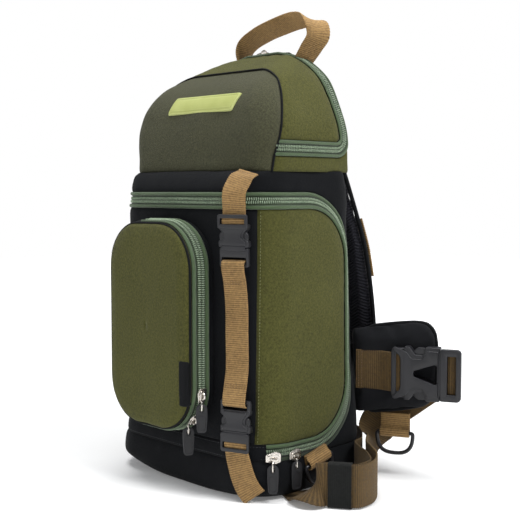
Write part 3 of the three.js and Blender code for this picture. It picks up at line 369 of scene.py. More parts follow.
def body_skin():
    heights = [*np.linspace(0, base_radius, 7), *np.linspace(base_radius + 2.9, body_height, 102)]
    rows = [outline_row(body_outline(z), z, 16, (26, 64, 26, 64)) for z in heights]
    rows = shrunk(rows[0], (0.02, 0.3, 0.6, 0.85)) + rows + shrunk(rows[-1], (0.85, 0.6, 0.3, 0.02))
    skin = lofted(rows)
    x, y, z = skin["at"].T
    over = y - (zip_rear - zip_corner)
    high = np.abs(z - (zip_top + zip_bottom) / 2) - ((zip_top - zip_bottom) / 2 - zip_corner)
    corner = np.hypot(np.maximum(over, 0), np.maximum(high, 0)) + np.minimum(np.maximum(over, high), 0)
    past = corner - zip_corner + zip_half
    roll = 6 * eased(past / 16) * (1 - eased((past - 16) / 34))
    roll = roll * eased((z - 62) / 60) * eased((np.abs(x) - 78) / 20)
    skin["at"][:, 0] -= np.sign(x) * roll
    skin = skin.with_normals()
    skin.values.update(
        zip=corner - zip_corner, side=np.abs(x) - side_seam, x=x, base=z - base_seam,
        hinge=np.maximum(y + hinge_reach, z - zip_bottom - zip_corner),
    )
    return skin


def signed_side(points, line):
    """Distance of points in a plane from an open line, negative on its left."""
    best = np.full(len(points), 1e9)
    signed = np.zeros(len(points))
    for a, b in zip(line, line[1:]):
        d = b - a
        t = np.clip(((points - a) @ d) / (d @ d), 0, 1)
        gap = points - (a + t[:, None] * d)
        far = np.linalg.norm(gap, axis=1)
        turn = d[0] * (points[:, 1] - a[1]) - d[1] * (points[:, 0] - a[0])
        nearer = far < best
        signed[nearer] = np.where(turn > 0, -far, far)[nearer]
        best = np.minimum(best, far)
    return signed


def hood_skin():
    heights = np.linspace(0, hood_height, 50)
    rows = [outline_row(hood_outline(h), hood_base + h, 10, (26, 60, 26, 60)) for h in heights]
    rows = rows + shrunk(rows[-1], (0.8, 0.55, 0.3, 0.02), 0.8)
    skin = lofted(rows)
    x, y, z = skin["at"].T
    edge = np.stack([-hood_front * np.array(PANEL_EDGE["front"]),
                     hood_base + hood_height * np.array(PANEL_EDGE["up"])], axis=1)
    edge = np.concatenate([[edge[0] - vec(0, 30)], edge, [edge[-1] + vec(60, 33)]])
    high = z - hood_base - hood_zip_height
    back = y + hood_zip_lean * high
    over, low = back - hood_zip_rear + hood_zip_corner, hood_zip_corner - high
    corner = np.hypot(np.maximum(over, 0), np.maximum(low, 0)) + np.minimum(np.maximum(over, low), 0)
    up, aside = z - hood_base - patch_up, x - patch_across
    slant = patch_slant * up / (2 * patch_half_height)
    badge = np.maximum(np.abs(up) - patch_half_height, np.abs(aside - slant) - patch_half_width)
    skin.values.update(
        panel=signed_side(np.stack([y, z], axis=1), edge), zip=corner - hood_zip_corner, back=back - 57.5, x=x,
        badge=np.where(y < 0, badge, 99.0),
    )
    return skin


def body_front_at(x, z):
    """How far forward the body's front face lies at a place across it."""
    o = body_outline(z)
    past = min(1.0, max(0.0, (abs(x) - (o["half"] - o["rf"])) / o["rf"]))
    lean = math.asin(past)
    return o["front"] - o["rf"] * (1 - math.cos(lean)) + o["bulge"] * (1 - min(1.0, (x / o["half"]) ** 2))


def rounded_rectangle(x0, z0, x1, z1, r, corner_steps, long_steps, short_steps):
    """Points and outward directions, anticlockwise seen from the front, from the lower left."""
    points = []
    corners = [(x1 - r, z0 + r, -90), (x1 - r, z1 - r, 0), (x0 + r, z1 - r, 90), (x0 + r, z0 + r, 180)]
    for i, (cx, cz, start) in enumerate(corners):
        for k in range(corner_steps):
            a = math.radians(start + 90 * k / corner_steps)
            points.append((cx + r * math.cos(a), cz + r * math.sin(a)))
        a = math.radians(start + 90)
        nx, nz, _ = corners[(i + 1) % 4]
        steps = long_steps if i % 2 == 0 else short_steps
        begin = vec(cx + r * math.cos(a), cz + r * math.sin(a))
        end = vec(nx + r * math.cos(a), nz + r * math.sin(a))
        points += [tuple(begin + (end - begin) * k / steps) for k in range(steps)]
    return np.array(points)


def pocket_skin():
    outs = np.concatenate([np.linspace(-0.25, 0.25, 9), np.linspace(0.27, 0.86, 24), np.linspace(0.875, 1, 11)])
    rows = []
    for out in outs:
        draw = pocket_crown * float(np.interp(out, POCKET["out"], POCKET["draw"]))
        r = pocket_corner - draw
        flat = rounded_rectangle(
            pocket_left + draw, pocket_bottom + draw, pocket_right - draw, pocket_top - draw, r, 20, 40, 15)
        y = -front_depth - out * pocket_depth
        rows.append(np.stack([flat[:, 0], np.full(len(flat), y), flat[:, 1]], axis=1))
    middle = rows[-1].mean(axis=0)
    for s in (0.97, 0.92, 0.85, 0.76, 0.66, 0.55, 0.43, 0.31, 0.19, 0.08, 0.01):
        rows.append(middle + (rows[len(outs) - 1] - middle) * s)
    skin = lofted(rows)
    x, y, z = skin["at"].T
    sunk = np.array([y_ + body_front_at(x_, z_) for x_, y_, z_ in zip(x, y, z)])
    tab = np.maximum(np.abs(x - pocket_right + tab_inset) - tab_half_width, np.abs(z - tab_height) - tab_half_height)
    skin.values.update(face=y - pocket_zip_front, zip=y - pocket_zip_back, hinge=x - pocket_hinge, body=sunk,
                       middle=y - (pocket_zip_front + pocket_zip_back) / 2, tab=tab)
    return skin


# Finishes: shader graphs written as expressions

class Value:
    """A shader socket that does arithmetic."""

    def __init__(self, graph, socket):
        self.graph, self.socket = graph, socket

    def math(self, operation, *others):
        inputs = dict(enumerate((self,) + others))
        return self.graph.node("ShaderNodeMath", {"operation": operation}, inputs)

    def __add__(self, other):
        return self.math("ADD", other)

    def __sub__(self, other):
        return self.math("SUBTRACT", other)

    def __mul__(self, other):
        return self.math("MULTIPLY", other)

    def __truediv__(self, other):
        return self.math("DIVIDE", other)

    __radd__, __rmul__ = __add__, __mul__


class Graph:
    """One material's nodes."""

    def __init__(self, name, **fixed):
        self.material = bpy.data.materials.new(name)
        self.material.use_nodes = True
        self.nodes, self.links = self.material.node_tree.nodes, self.material.node_tree.links
        self.shader = self.nodes["Principled BSDF"]
        for socket, value in fixed.items():
            self.shader.inputs[socket.replace("_", " ")].default_value = value

    def node(self, kind, settings=None, inputs=None, out=0):
        node = self.nodes.new(kind)
        for key, value in (settings or {}).items():
            setattr(node, key, value)
        for key, value in (inputs or {}).items():
            self.feed(node.inputs[key], value)
        return Value(self, node.outputs[out])

    def feed(self, socket, value):
        if isinstance(value, Value):
            self.links.new(value.socket, socket)
        else:
            socket.default_value = value

    def place(self):
        return self.node("ShaderNodeTexCoord", out="Object")

    def woven(self):
        """Millimetres across and along the cloth, from the piece's own map."""
        uv = self.node("ShaderNodeUVMap", {"uv_map": "weave"})
        split = self.node("ShaderNodeSeparateXYZ", inputs={0: uv})
        return split, Value(self, split.socket.node.outputs[1])

    def noise(self, scale, detail=2.0, rough=0.5, at=None):
        """Noise with that many swells per metre."""
        settings = {"Vector": at or self.place(), "Scale": scale, "Detail": detail, "Roughness": rough}
        return self.node("ShaderNodeTexNoise", inputs=settings)

    def mix(self, share, a, b):
        return self.node("ShaderNodeMix", {"data_type": "RGBA"}, {0: share, 6: a, 7: b}, out=2)

    def range(self, value, low, high, to_low=0.0, to_high=1.0):
        return self.node("ShaderNodeMapRange", inputs={0: value, 1: low, 2: high, 3: to_low, 4: to_high})

    def bump(self, height, depth, strength=1.0):
        made = self.node("ShaderNodeBump", inputs={"Height": height, "Distance": depth, "Strength": strength})
        self.feed(self.shader.inputs["Normal"], made)

    def finish(self, color, roughness=None):
        self.feed(self.shader.inputs["Base Color"], color)
        if roughness is not None:
            self.feed(self.shader.inputs["Roughness"], roughness)
        return self.material


def rgb(*levels):
    """Linear colour from screen levels out of 255."""
    return tuple(((v / 255 + 0.055) / 1.055) ** 2.4 if v > 10 else v / 3295 for v in levels) + (1.0,)


def sines(a, b, pitch):
    """A plain weave's height at a pitch in millimetres, from 0 to 1."""
    turn = 2 * math.pi / pitch
    return (a * turn).math("SINE") * (b * turn).math("SINE") * 0.5 + 0.5


def woven_cloth(name, dark, light, pitch, grain, relief, sheen, slant=0.0):
    """Heathered woven polyester with a map of its own."""
    g = Graph(name, Sheen_Weight=sheen, Sheen_Roughness=0.55, Specular_IOR_Level=0.16)
    across, along = g.woven()
    weave = sines(across + along * slant, along - across * slant, pitch)
    heather = g.range(g.noise(grain, 3.0, 0.65), 0.34, 0.66)
    faded = g.range(g.noise(14, 2.0), 0.35, 0.65, -0.05, 0.05)
    share = heather * 0.5 + weave * 0.3 + 0.1 + faded
    g.bump(weave * 0.6 + heather * 0.5, relief * MM)
    return g.finish(g.mix(share, dark, light), g.range(heather, 0, 1, 0.82, 0.96))


def ribbed_web(name, dark, light):
    """Webbing: cross ribs are in the mesh, yarns and wear in the finish."""
    g = Graph(name, Sheen_Weight=0.08, Sheen_Roughness=0.4, Specular_IOR_Level=0.35)
    across, along = g.woven()
    yarn = sines(across + along * 0.5, along - across * 0.5, 1.6)
    rib = (along * (2 * math.pi / 2.0)).math("SINE") * 0.5 + 0.5
    uneven = g.range(g.noise(420, 3.0, 0.6), 0.3, 0.7)
    faded = g.range(g.noise(22, 2.0), 0.35, 0.65, -0.08, 0.08)
    share = rib * 0.42 + yarn * 0.22 + uneven * 0.36 + faded
    g.bump(yarn * 0.6 + uneven * 0.4, 0.35 * MM)
    return g.finish(g.mix(share, dark, light), g.range(uneven, 0, 1, 0.7, 0.92))


def pad_cloth(name, dark, light, pitch, relief):
    """Cloth on a padded piece, whose weave follows the piece's own coordinates."""
    g = Graph(name, Sheen_Weight=0.03, Sheen_Roughness=0.6, Specular_IOR_Level=0.15)
    split = g.node("ShaderNodeSeparateXYZ", inputs={0: g.place()})
    x, y, z = (Value(g, split.socket.node.outputs[i]) for i in range(3))
    weave = sines((x + y) * 1000, z * 1000 + (x - y) * 400, pitch)
    grain = g.range(g.noise(700, 2.0, 0.6), 0.35, 0.65)
    g.bump(weave * 0.8 + grain * 0.3, relief * MM)
    return g.finish(g.mix(weave * 0.6 + grain * 0.4, dark, light), g.range(grain, 0, 1, 0.8, 0.95))


def spacer_mesh():
    """Knitted spacer mesh with rows of slanting eyelets, seen as a herringbone."""
    g = Graph("spacer_mesh_knit", Sheen_Weight=0.04, Specular_IOR_Level=0.25)
    split = g.node("ShaderNodeSeparateXYZ", inputs={0: g.place()})
    x, y, z = (Value(g, split.socket.node.outputs[i]) for i in range(3))
    zigzag = (x * (1000 / 9.0)).math("PINGPONG", 1.0)
    slanted = (z * 1000 - y * 1000 * 0.3 + zigzag * 5.5) * (2 * math.pi / 3.4)
    rows = slanted.math("SINE") * 0.5 + 0.5
    holes = g.node("ShaderNodeTexVoronoi", inputs={"Vector": g.place(), "Scale": 520.0})
    eyelet = g.range(holes, 0.1, 0.45)
    g.bump(rows * 0.7 + eyelet * 0.5, 1.1 * MM)
    color = g.mix(rows * 0.6 + eyelet * 0.4, rgb(4, 4, 6), rgb(32, 32, 40))
    return g.finish(color, g.range(rows, 0, 1, 0.95, 0.75))


def zip_cloth():
    """Green zip tape, woven in fine ribs along its run, with painted shade beside and under the coil and on the shaded
    lower tape, read from a point attribute.
    """
    g = Graph("zip_tape_weave", Sheen_Weight=0.2, Specular_IOR_Level=0.4)
    across, along = g.woven()
    tone_with_painted_shade = g.node("ShaderNodeAttribute", {"attribute_name": "tone_with_painted_shade"}, out="Fac")
    fine = sines(across, along, 1.1)
    uneven = g.range(g.noise(500, 2.0), 0.3, 0.7)
    share = tone_with_painted_shade * 0.62 + fine * 0.18 + uneven * 0.2
    g.bump(fine, 0.2 * MM)
    return g.finish(g.mix(share, rgb(6, 11, 7), rgb(70, 92, 56)), g.range(uneven, 0, 1, 0.55, 0.8))


def moulded(name, dark, light, rough, grain=2600, relief=0.06):
    """Moulded plastic or rubber: fine grain, and a painted highlight that lightens the colour on sharp edges."""
    g = Graph(name, Specular_IOR_Level=0.45)
    fine = g.noise(grain, 2.0)
    patch = g.range(g.noise(45, 3.0), 0.3, 0.7)
    # painted highlight: lighter colour on sharp edges
    edges = g.range(g.node("ShaderNodeNewGeometry", out="Pointiness"), 0.5, 0.58)
    g.bump(fine, relief * MM)
    return g.finish(g.mix(patch * 0.4 + edges * 0.6, dark, light), g.range(patch, 0, 1, rough, rough + 0.14))


def nickel():
    g = Graph("bright_nickel", Metallic=1.0)
    scuffs = g.range(g.noise(900, 3.0, 0.7), 0.35, 0.65)
    g.bump(scuffs, 0.01 * MM)
    return g.finish(g.mix(scuffs, rgb(196, 190, 182), rgb(226, 220, 212)), g.range(scuffs, 0, 1, 0.2, 0.3))


def thread(name, dark, light):
    g = Graph(name, Sheen_Weight=0.2)
    twist = g.range(g.noise(1500, 2.0), 0.3, 0.7)
    g.bump(twist, 0.1 * MM)
    return g.finish(g.mix(twist, dark, light), g.range(twist, 0, 1, 0.6, 0.85))


def floor_paint():
    g = Graph("pale_floor", Specular_IOR_Level=0.1)
    patch = g.range(g.noise(3, 2.0), 0.3, 0.7)
    # painted light: the floor glows, faintly near the bag and fully far from it
    g.shader.inputs["Emission Strength"].default_value = 1.0
    away = g.node("ShaderNodeVectorMath", {"operation": "LENGTH"}, {0: g.place()}, out=1)
    far = g.range(away, 0.45, 1.6, 0.12, 1.0)
    g.feed(g.shader.inputs["Emission Color"], g.mix(far, (0, 0, 0, 1), (1, 1, 1, 1)))
    return g.finish(g.mix(patch, (0.9, 0.9, 0.9, 1), (0.93, 0.93, 0.93, 1)), 0.9)


OLIVE = woven_cloth("olive_polyester", rgb(44, 44, 16), rgb(90, 90, 44), 1.5, 520, 0.28, 0.05)
CANVAS = woven_cloth("dark_canvas", rgb(40, 40, 27), rgb(82, 82, 60), 1.9, 620, 0.5, 0.05, 0.5)
BLACK = woven_cloth("black_polyester", rgb(2, 3, 5), rgb(13, 15, 19), 1.5, 520, 0.22, 0.02)
BINDING = woven_cloth("black_binding", rgb(4, 5, 6), rgb(18, 19, 22), 1.2, 700, 0.2, 0.03)
GREEN = zip_cloth()
TAN = ribbed_web("tan_webbing_yarn", rgb(78, 56, 28), rgb(182, 146, 94))
# a darker copy of the tan webbing: painted shade for the belt and its strap, which sit in shade
BELT_TAN_PAINTED_SHADE = ribbed_web("belt_webbing_painted_shade", rgb(42, 30, 13), rgb(108, 85, 49))
DARK_WEB = ribbed_web("black_webbing_yarn", rgb(6, 6, 7), rgb(24, 25, 27))
ELASTIC = ribbed_web("black_elastic_yarn", rgb(6, 7, 6), rgb(24, 26, 24))
PAD = pad_cloth("padded_black_cloth", rgb(7, 8, 10), rgb(26, 27, 31), 1.6, 0.25)
MESH = spacer_mesh()
PLASTIC = moulded("black_acetal", rgb(12, 12, 15), rgb(42, 42, 47), 0.34)
RUBBER = moulded("black_rubber", rgb(12, 12, 14), rgb(38, 38, 42), 0.5)
PATCH = moulded("pale_patch", rgb(158, 164, 92), rgb(196, 202, 136), 0.5, 1400, 0.12)
RING = moulded("black_ring", rgb(10, 10, 12), rgb(40, 40, 44), 0.3)
NICKEL = nickel()
COIL = thread("green_coil", rgb(74, 94, 72), rgb(172, 190, 160))
OLIVE_THREAD = thread("olive_thread", rgb(84, 90, 42), rgb(150, 152, 96))
BLACK_THREAD = thread("black_thread", rgb(16, 17, 20), rgb(52, 54, 60))
TAN_THREAD = thread("tan_thread", rgb(84, 60, 34), rgb(134, 102, 64))


# Pieces

def linked(name, data):
    """A new object in the scene."""
    made = bpy.data.objects.new(name, data)
    scene.collection.objects.link(made)
    return made


def finished_mesh(piece):
    """The piece's mesh with its modifiers applied."""
    return bpy.data.meshes.new_from_object(piece.evaluated_get(bpy.context.evaluated_depsgraph_get()))


def recalculated(mesh, crease=None):
    """Joins doubled points and turns the faces outwards; edges that fold past a crease angle become sharp."""
    work = bmesh.new()
    work.from_mesh(mesh)
    bmesh.ops.remove_doubles(work, verts=work.verts, dist=1e-6)
    bmesh.ops.recalc_face_normals(work, faces=work.faces)
    if crease:
        work.normal_update()
        for line in work.edges:
            line.smooth = len(line.link_faces) != 2 or line.calc_face_angle(0) <= crease
    work.to_mesh(mesh)
    work.free()


def to_object(name, points, faces, weave=None, tone_with_painted_shade=None):
    """A smooth shaded object at the origin, from points in millimetres."""
    mesh = bpy.data.meshes.new(name)
    mesh.from_pydata((np.asarray(points) * MM).tolist(), [], [list(map(int, face)) for face in faces])
    mesh.polygons.foreach_set("use_smooth", [True] * len(mesh.polygons))
    if weave is not None:
        corner = np.empty(len(mesh.loops), int)
        mesh.loops.foreach_get("vertex_index", corner)
        mesh.uv_layers.new(name="weave").data.foreach_set("uv", np.asarray(weave)[corner].ravel())
    # a point brightness for the zip tape, which carries painted shade
    if tone_with_painted_shade is not None:
        mesh.attributes.new("tone_with_painted_shade", "FLOAT", "POINT").data.foreach_set("value", np.asarray(tone_with_painted_shade, float))
    return linked(name, mesh)


def dressed(piece, material, slot, *nodes, body="bag"):
    """Gives a piece its finish and its body, and hides the nodes that it stands for."""
    piece.data.materials.clear()
    piece.data.materials.append(material)
    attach(piece, body)
    if nodes:
        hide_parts(*nodes)
    return piece


def thickened(piece, depth):
    """A wall behind the surface."""
    wall = piece.modifiers.new("wall", "SOLIDIFY")
    wall.thickness = depth * MM
    wall.offset = -1
    return piece


def panel(name, skin, edge, puff, material, slot, node, seed, wall=1.6, wrinkle=0.7):
    """A padded panel: it swells away from its seams, puckers along them and wrinkles a little."""
    edge = np.maximum(edge, 0)
    at = skin["at"]
    swell = puff * (1 - np.exp(-edge / 7)) - 0.9 * np.exp(-edge / 1.3)
    pucker = 0.55 * ripple(at, 13, seed) * np.exp(-edge / 6) * (1 - np.exp(-edge / 1.5))
    soft = wrinkle * ripple(at, 62, seed + 1) * (1 - np.exp(-edge / 14))
    points = at + skin["out"] * (swell + pucker + soft)[:, None]
    points[:, 2] = np.maximum(points[:, 2], 0.05)
    piece = to_object(name, points, skin.faces, skin["weave"])
    return dressed(thickened(piece, wall), material, slot, node)


def band(name, skin, distance, half, material, slot, node, shade=0.0):
    """A zip: two bound tapes with a shallow slot for the coil between them, with painted shade in the slot, under the
    coil and where a shade is given.
    """
    d = np.abs(distance)
    teeth = half * coil_share
    welt = 1.5 * np.sqrt(np.clip(1 - ((d - half + 1.9) / 1.9) ** 2, 0, 1))
    tape = 0.5 * eased((d - teeth) / 0.6)
    rise = (welt + tape) * (1 - shade) - 0.7 * np.exp(-(((d - teeth - 0.3) / 0.5) ** 2)) - 0.4
    # painted shade: darker in the groove beside the coil, under the coil and by the given shade
    tone_with_painted_shade = 0.9 - 0.95 * np.exp(-(((d - teeth - 0.3) / 0.7) ** 2)) - 0.5 * eased((teeth - d) / 1.2) - shade
    points = skin["at"] + skin["out"] * (rise + 0.2 * ripple(skin["at"], 30, 5))[:, None]
    piece = to_object(name, points, skin.faces, skin["weave"], tone_with_painted_shade)
    return dressed(thickened(piece, 1.4), material, slot, node)


def evened(points, out, pitch):
    """A line at even steps, a little smoothed."""
    for _ in range(4):
        points = np.concatenate([points[:1], (points[:-2] + 2 * points[1:-1] + points[2:]) / 4, points[-1:]])
    step = np.concatenate([[0], np.cumsum(np.linalg.norm(np.diff(points, axis=0), axis=1))])
    at = np.linspace(0, step[-1], max(4, int(step[-1] / pitch)))
    def along(values):
        return np.stack([np.interp(at, step, values[:, i]) for i in range(3)], axis=1)
    return along(points), unit(along(out))


def tube(name, lines, radius, lift, material, slot, *nodes, sides=8, body="bag"):
    """Round cord such as piping, along lines of (points, outward directions)."""
    points, faces = [], []
    for at, out in lines:
        closed = np.linalg.norm(at[0] - at[-1]) < 3
        if closed:
            at, out = at[:-1], out[:-1]
        tangent = unit(np.roll(at, -1, 0) - np.roll(at, 1, 0)) if closed else unit(np.gradient(at, axis=0))
        cross = unit(np.cross(out, tangent))
        up = np.cross(tangent, cross)
        first = sum(len(p) for p in points)
        a = np.arange(sides)[:, None] * 2 * math.pi / sides
        for k in range(len(at)):
            points.append(at[k] + up[k] * lift + radius * (np.cos(a) * cross[k] + np.sin(a) * up[k]))
        faces += ring_faces(sides, len(at), closed, first)
        if not closed:
            faces += end_faces(sides, len(at), first)
    joined = np.concatenate(points)
    piece = to_object(name, joined, faces, joined[:, :2] + joined[:, 2:])
    recalculated(piece.data)
    return dressed(piece, material, slot, *nodes, body=body)


# Beads along lines: coil teeth and stitches, made by one node tree

def bead_tree():
    tree = bpy.data.node_groups.new("beads_along_lines", "GeometryNodeTree")
    tree.is_modifier = True
    inputs = (("Lines", "NodeSocketGeometry"), ("Pitch", "NodeSocketFloat"), ("Length", "NodeSocketFloat"),
              ("Width", "NodeSocketFloat"), ("Height", "NodeSocketFloat"), ("Finish", "NodeSocketMaterial"))
    for name, kind in inputs:
        tree.interface.new_socket(name, in_out="INPUT", socket_type=kind)
    tree.interface.new_socket("Beads", in_out="OUTPUT", socket_type="NodeSocketGeometry")

    def add(kind, settings=None, links=None):
        node = tree.nodes.new(kind)
        for key, value in (settings or {}).items():
            setattr(node, key, value)
        for key, value in (links or {}).items():
            if isinstance(value, bpy.types.NodeSocket):
                tree.links.new(value, node.inputs[key])
            else:
                node.inputs[key].default_value = value
        return node

    given = add("NodeGroupInput").outputs
    curve = add("GeometryNodeMeshToCurve", links={0: given["Lines"]})
    even = add("GeometryNodeResampleCurve", {"mode": "LENGTH"},
               {"Curve": curve.outputs[0], "Length": given["Pitch"]})
    facing = add("GeometryNodeInputNamedAttribute", {"data_type": "FLOAT_VECTOR"}, {"Name": "facing"})
    tangent = add("GeometryNodeInputTangent")
    turn = add("FunctionNodeAxesToRotation", {"primary_axis": "Z", "secondary_axis": "X"},
               {0: facing.outputs[0], 1: tangent.outputs[0]})
    size = add("ShaderNodeCombineXYZ", links={0: given["Length"], 1: given["Width"], 2: given["Height"]})
    bead = add("GeometryNodeMeshUVSphere", links={"Segments": 6, "Rings": 4, "Radius": 0.5})
    spread = add("GeometryNodeInstanceOnPoints", links={
        "Points": even.outputs[0], "Instance": bead.outputs[0], "Rotation": turn.outputs[0],
        "Scale": size.outputs[0]})
    real = add("GeometryNodeRealizeInstances", links={0: spread.outputs[0]})
    soft = add("GeometryNodeSetShadeSmooth", links={0: real.outputs[0]})
    painted = add("GeometryNodeSetMaterial", links={"Geometry": soft.outputs[0], "Material": given["Finish"]})
    add("NodeGroupOutput", links={0: painted.outputs[0]})
    return tree


BEADS = bead_tree()


def beads(name, lines, pitch, size, material, slot, body="bag"):
    """Small rounded repeats of size (along, across, proud) at a pitch along lines of (points, outward)."""
    points = np.concatenate([at for at, _ in lines])
    facing = np.concatenate([out for _, out in lines])
    edges, first = [], 0
    for at, _ in lines:
        edges += [(first + i, first + i + 1) for i in range(len(at) - 1)]
        first += len(at)
    mesh = bpy.data.meshes.new(name)
    mesh.from_pydata((points * MM).tolist(), edges, [])
    mesh.attributes.new("facing", "FLOAT_VECTOR", "POINT").data.foreach_set("vector", facing.ravel())
    path = linked(name + "_path", mesh)
    modifier = path.modifiers.new("beads", "NODES")
    modifier.node_group = BEADS
    wanted = {"Pitch": pitch * MM, "Length": size[0] * MM, "Width": size[1] * MM, "Height": size[2] * MM,
              "Finish": material}
    for item in BEADS.interface.items_tree:
        if item.item_type == "SOCKET" and item.in_out == "INPUT" and item.name in wanted:
            modifier[item.identifier] = wanted[item.name]
    made = finished_mesh(path)
    bpy.data.objects.remove(path)
    made.name = name
    return dressed(linked(name, made), material, slot, body=body)


def shifted(line, aside=0.0, lift=0.0, pitch=1.0):
    """A line moved sideways along the surface and outwards."""
    at, out = evened(*line, pitch)
    cross = unit(np.cross(out, unit(np.gradient(at, axis=0))))
    return at + cross * aside + out * lift, out


def coil(name, lines, half, slot="zip_tape"):
    """The zip's two interleaved rows of coil teeth."""
    rows = []
    teeth = half * coil_share
    for line in lines:
        for side in (-1, 1):
            at, out = shifted(line, teeth * 0.48 * side, 0.5, 0.8)
            rows.append((at[(side + 1) // 2:], out[(side + 1) // 2:]))
    return beads(name, rows, coil_pitch, (coil_pitch * 0.6, teeth * 1.02, 1.5), COIL, slot)


# Body panels

body = body_skin()
flap = body.cut("zip", -zip_half)
ring_band = body.cut("zip", -zip_half, above=True).cut("zip", zip_half)
around = body.cut("zip", zip_half, above=True)


def flap_edge(skin):
    return np.minimum(-zip_half - skin["zip"], np.abs(skin["side"]))


front = flap.cut("side")
panel("front_panel", front, flap_edge(front), 1.2, BLACK, "black_fabric", "flap_front", 11)
for name, above, seed in (("right", True, 21), ("left", False, 31)):
    part = flap.cut("side", above=True).cut("x", above=above)
    panel("side_panel_" + name, part, flap_edge(part), 2.0, OLIVE, "olive_fabric", "flap_side_" + name, seed,
          wrinkle=1.0)
    lines = [shifted(line, 0, 0.75) for line in part.cut("zip", -zip_half - 3).contour("side", 2.2)]
    beads("seam_stitches_" + name, lines, 3.0, (2.1, 0.55, 0.5), OLIVE_THREAD, "olive_fabric")

tub = around.cut("base")
low = eased((26 - tub["at"][:, 2]) / 26)
far = np.clip(np.hypot(tub["at"][:, 0] / body_half, tub["at"][:, 1] / front_depth), 0, 1.4)
corner = eased((far - 0.75) / 0.6)
left = eased((-tub["at"][:, 0] - 10) / 110)
tub["at"][:, 2] += 9 * corner * low**2 * (0.35 + 0.65 * left)
tub["at"][:, :2] *= (1 - (0.035 + 0.035 * left) * low**2)[:, None]
tub_edge = np.minimum(-tub["base"], np.where(tub["at"][:, 2] > 20, tub["zip"] - zip_half, 99))
panel("base_cloth", tub, tub_edge, 0.9, BLACK, "black_fabric", "base_tub", 41, wrinkle=0.4)
back = around.cut("base", above=True)
back_edge = np.minimum(back["base"], back["zip"] - zip_half)
top_seam = np.where(back["at"][:, 2] > zip_top, np.abs(np.abs(back["x"]) - 87), 99)
panel("back_cloth", back, np.minimum(back_edge, top_seam), 1.1, BLACK, "black_fabric", "back_frame", 51)
hinge = ring_band.cut("hinge")
panel("hinge_cloth", hinge, zip_half - np.abs(hinge["zip"]), 1.0, BLACK, "black_fabric", "flap_hinge", 61,
      wrinkle=0.2)
main_band = ring_band.cut("hinge", above=True)
main_lines = main_band.contour("zip", 0.0)
fine = main_band.refined(2)
# painted shade on the outer side of the main zip's lower part
low_outer_painted_shade = 0.8 * eased((fine["zip"] + 0.5) / 2) * eased((zip_bottom + 70 - fine["at"][:, 2]) / 45)
band("main_zip_tape", fine, fine["zip"], zip_half, GREEN, "zip_tape", "main_zip", low_outer_painted_shade)
coil("main_zip_coil", main_lines, zip_half)
hinge_lines = [shifted(line, 0, 0.35) for level in (-5.6, 5.6) for line in hinge.contour("zip", level)]
beads("hinge_stitches", hinge_lines, 3.0, (2.1, 0.5, 0.4), BLACK_THREAD, "black_fabric")

# Hood panels

hood = hood_skin()
hood_panel = hood.cut("panel")
hood_rest = hood.cut("panel", above=True)
lid = hood_rest.cut("zip", -hood_zip_half)
hood_band = hood_rest.cut("zip", -hood_zip_half, above=True).cut("zip", hood_zip_half)
below = hood_rest.cut("zip", hood_zip_half, above=True)
foot = hood_base - 1


def to_foot(skin):
    return skin["at"][:, 2] - foot


panel_edge = np.minimum(np.abs(hood_panel["panel"]), to_foot(hood_panel))
panel("hood_front_cloth", hood_panel, panel_edge, 1.4, CANVAS,
      "mesh_panel", "hood_front", 71)
panel("hood_top_cloth", lid, np.minimum(np.abs(lid["panel"]), -hood_zip_half - lid["zip"]), 1.8, OLIVE,
      "olive_fabric", "hood_upper", 81)
sides = below.cut("back")
for name, above, seed in (("right", True, 91), ("left", False, 101)):
    part = sides.cut("x", above=above)
    seams = (np.abs(part["panel"]), part["zip"] - hood_zip_half, to_foot(part), -part["back"])
    edge = np.minimum.reduce(seams)
    panel("hood_side_" + name, part, edge, 1.3, OLIVE, "olive_fabric", "hood_lower_" + name, seed, wrinkle=0.3)
rear = below.cut("back", above=True)
rear_edge = np.minimum.reduce([rear["zip"] - hood_zip_half, to_foot(rear), rear["back"]])
panel("hood_back_cloth", rear, rear_edge, 0.8, BLACK, "black_fabric", "hood_back", 111, wrinkle=0.3)
fine = hood_band.refined(2)
band("hood_zip_tape", fine, fine["zip"], hood_zip_half, GREEN, "zip_tape", "hood_zip")
coil("hood_zip_coil", hood_band.contour("zip", 0.0), hood_zip_half)
piping = [shifted(line, 0, 0.35, 2.5) for line in hood.contour("panel", 0.0)]
tube("hood_piping", piping, 1.0, 0, BINDING, "black_fabric")

patch = hood.cut("badge").refined(2)
inside = -patch["badge"]
proud = 1.9 * np.sqrt(np.clip(1 - (1 - np.minimum(inside, 1.2) / 1.2) ** 2, 0, 1)) + 0.1
proud = proud - 0.5 * np.exp(-(((inside - 2.3) / 0.45) ** 2))
piece = to_object("hood_patch", patch["at"] + patch["out"] * (proud + 0.6)[:, None], patch.faces, patch["weave"])
dressed(thickened(piece, 1.8), PATCH, "badge_rubber", "hood_badge")
patch_lines = [shifted(line, 0, 2.1, 1.0) for line in patch.contour("badge", -2.3)]
beads("patch_stitches", patch_lines, 2.4, (1.7, 0.5, 0.45), OLIVE_THREAD, "badge_rubber")

# Pocket

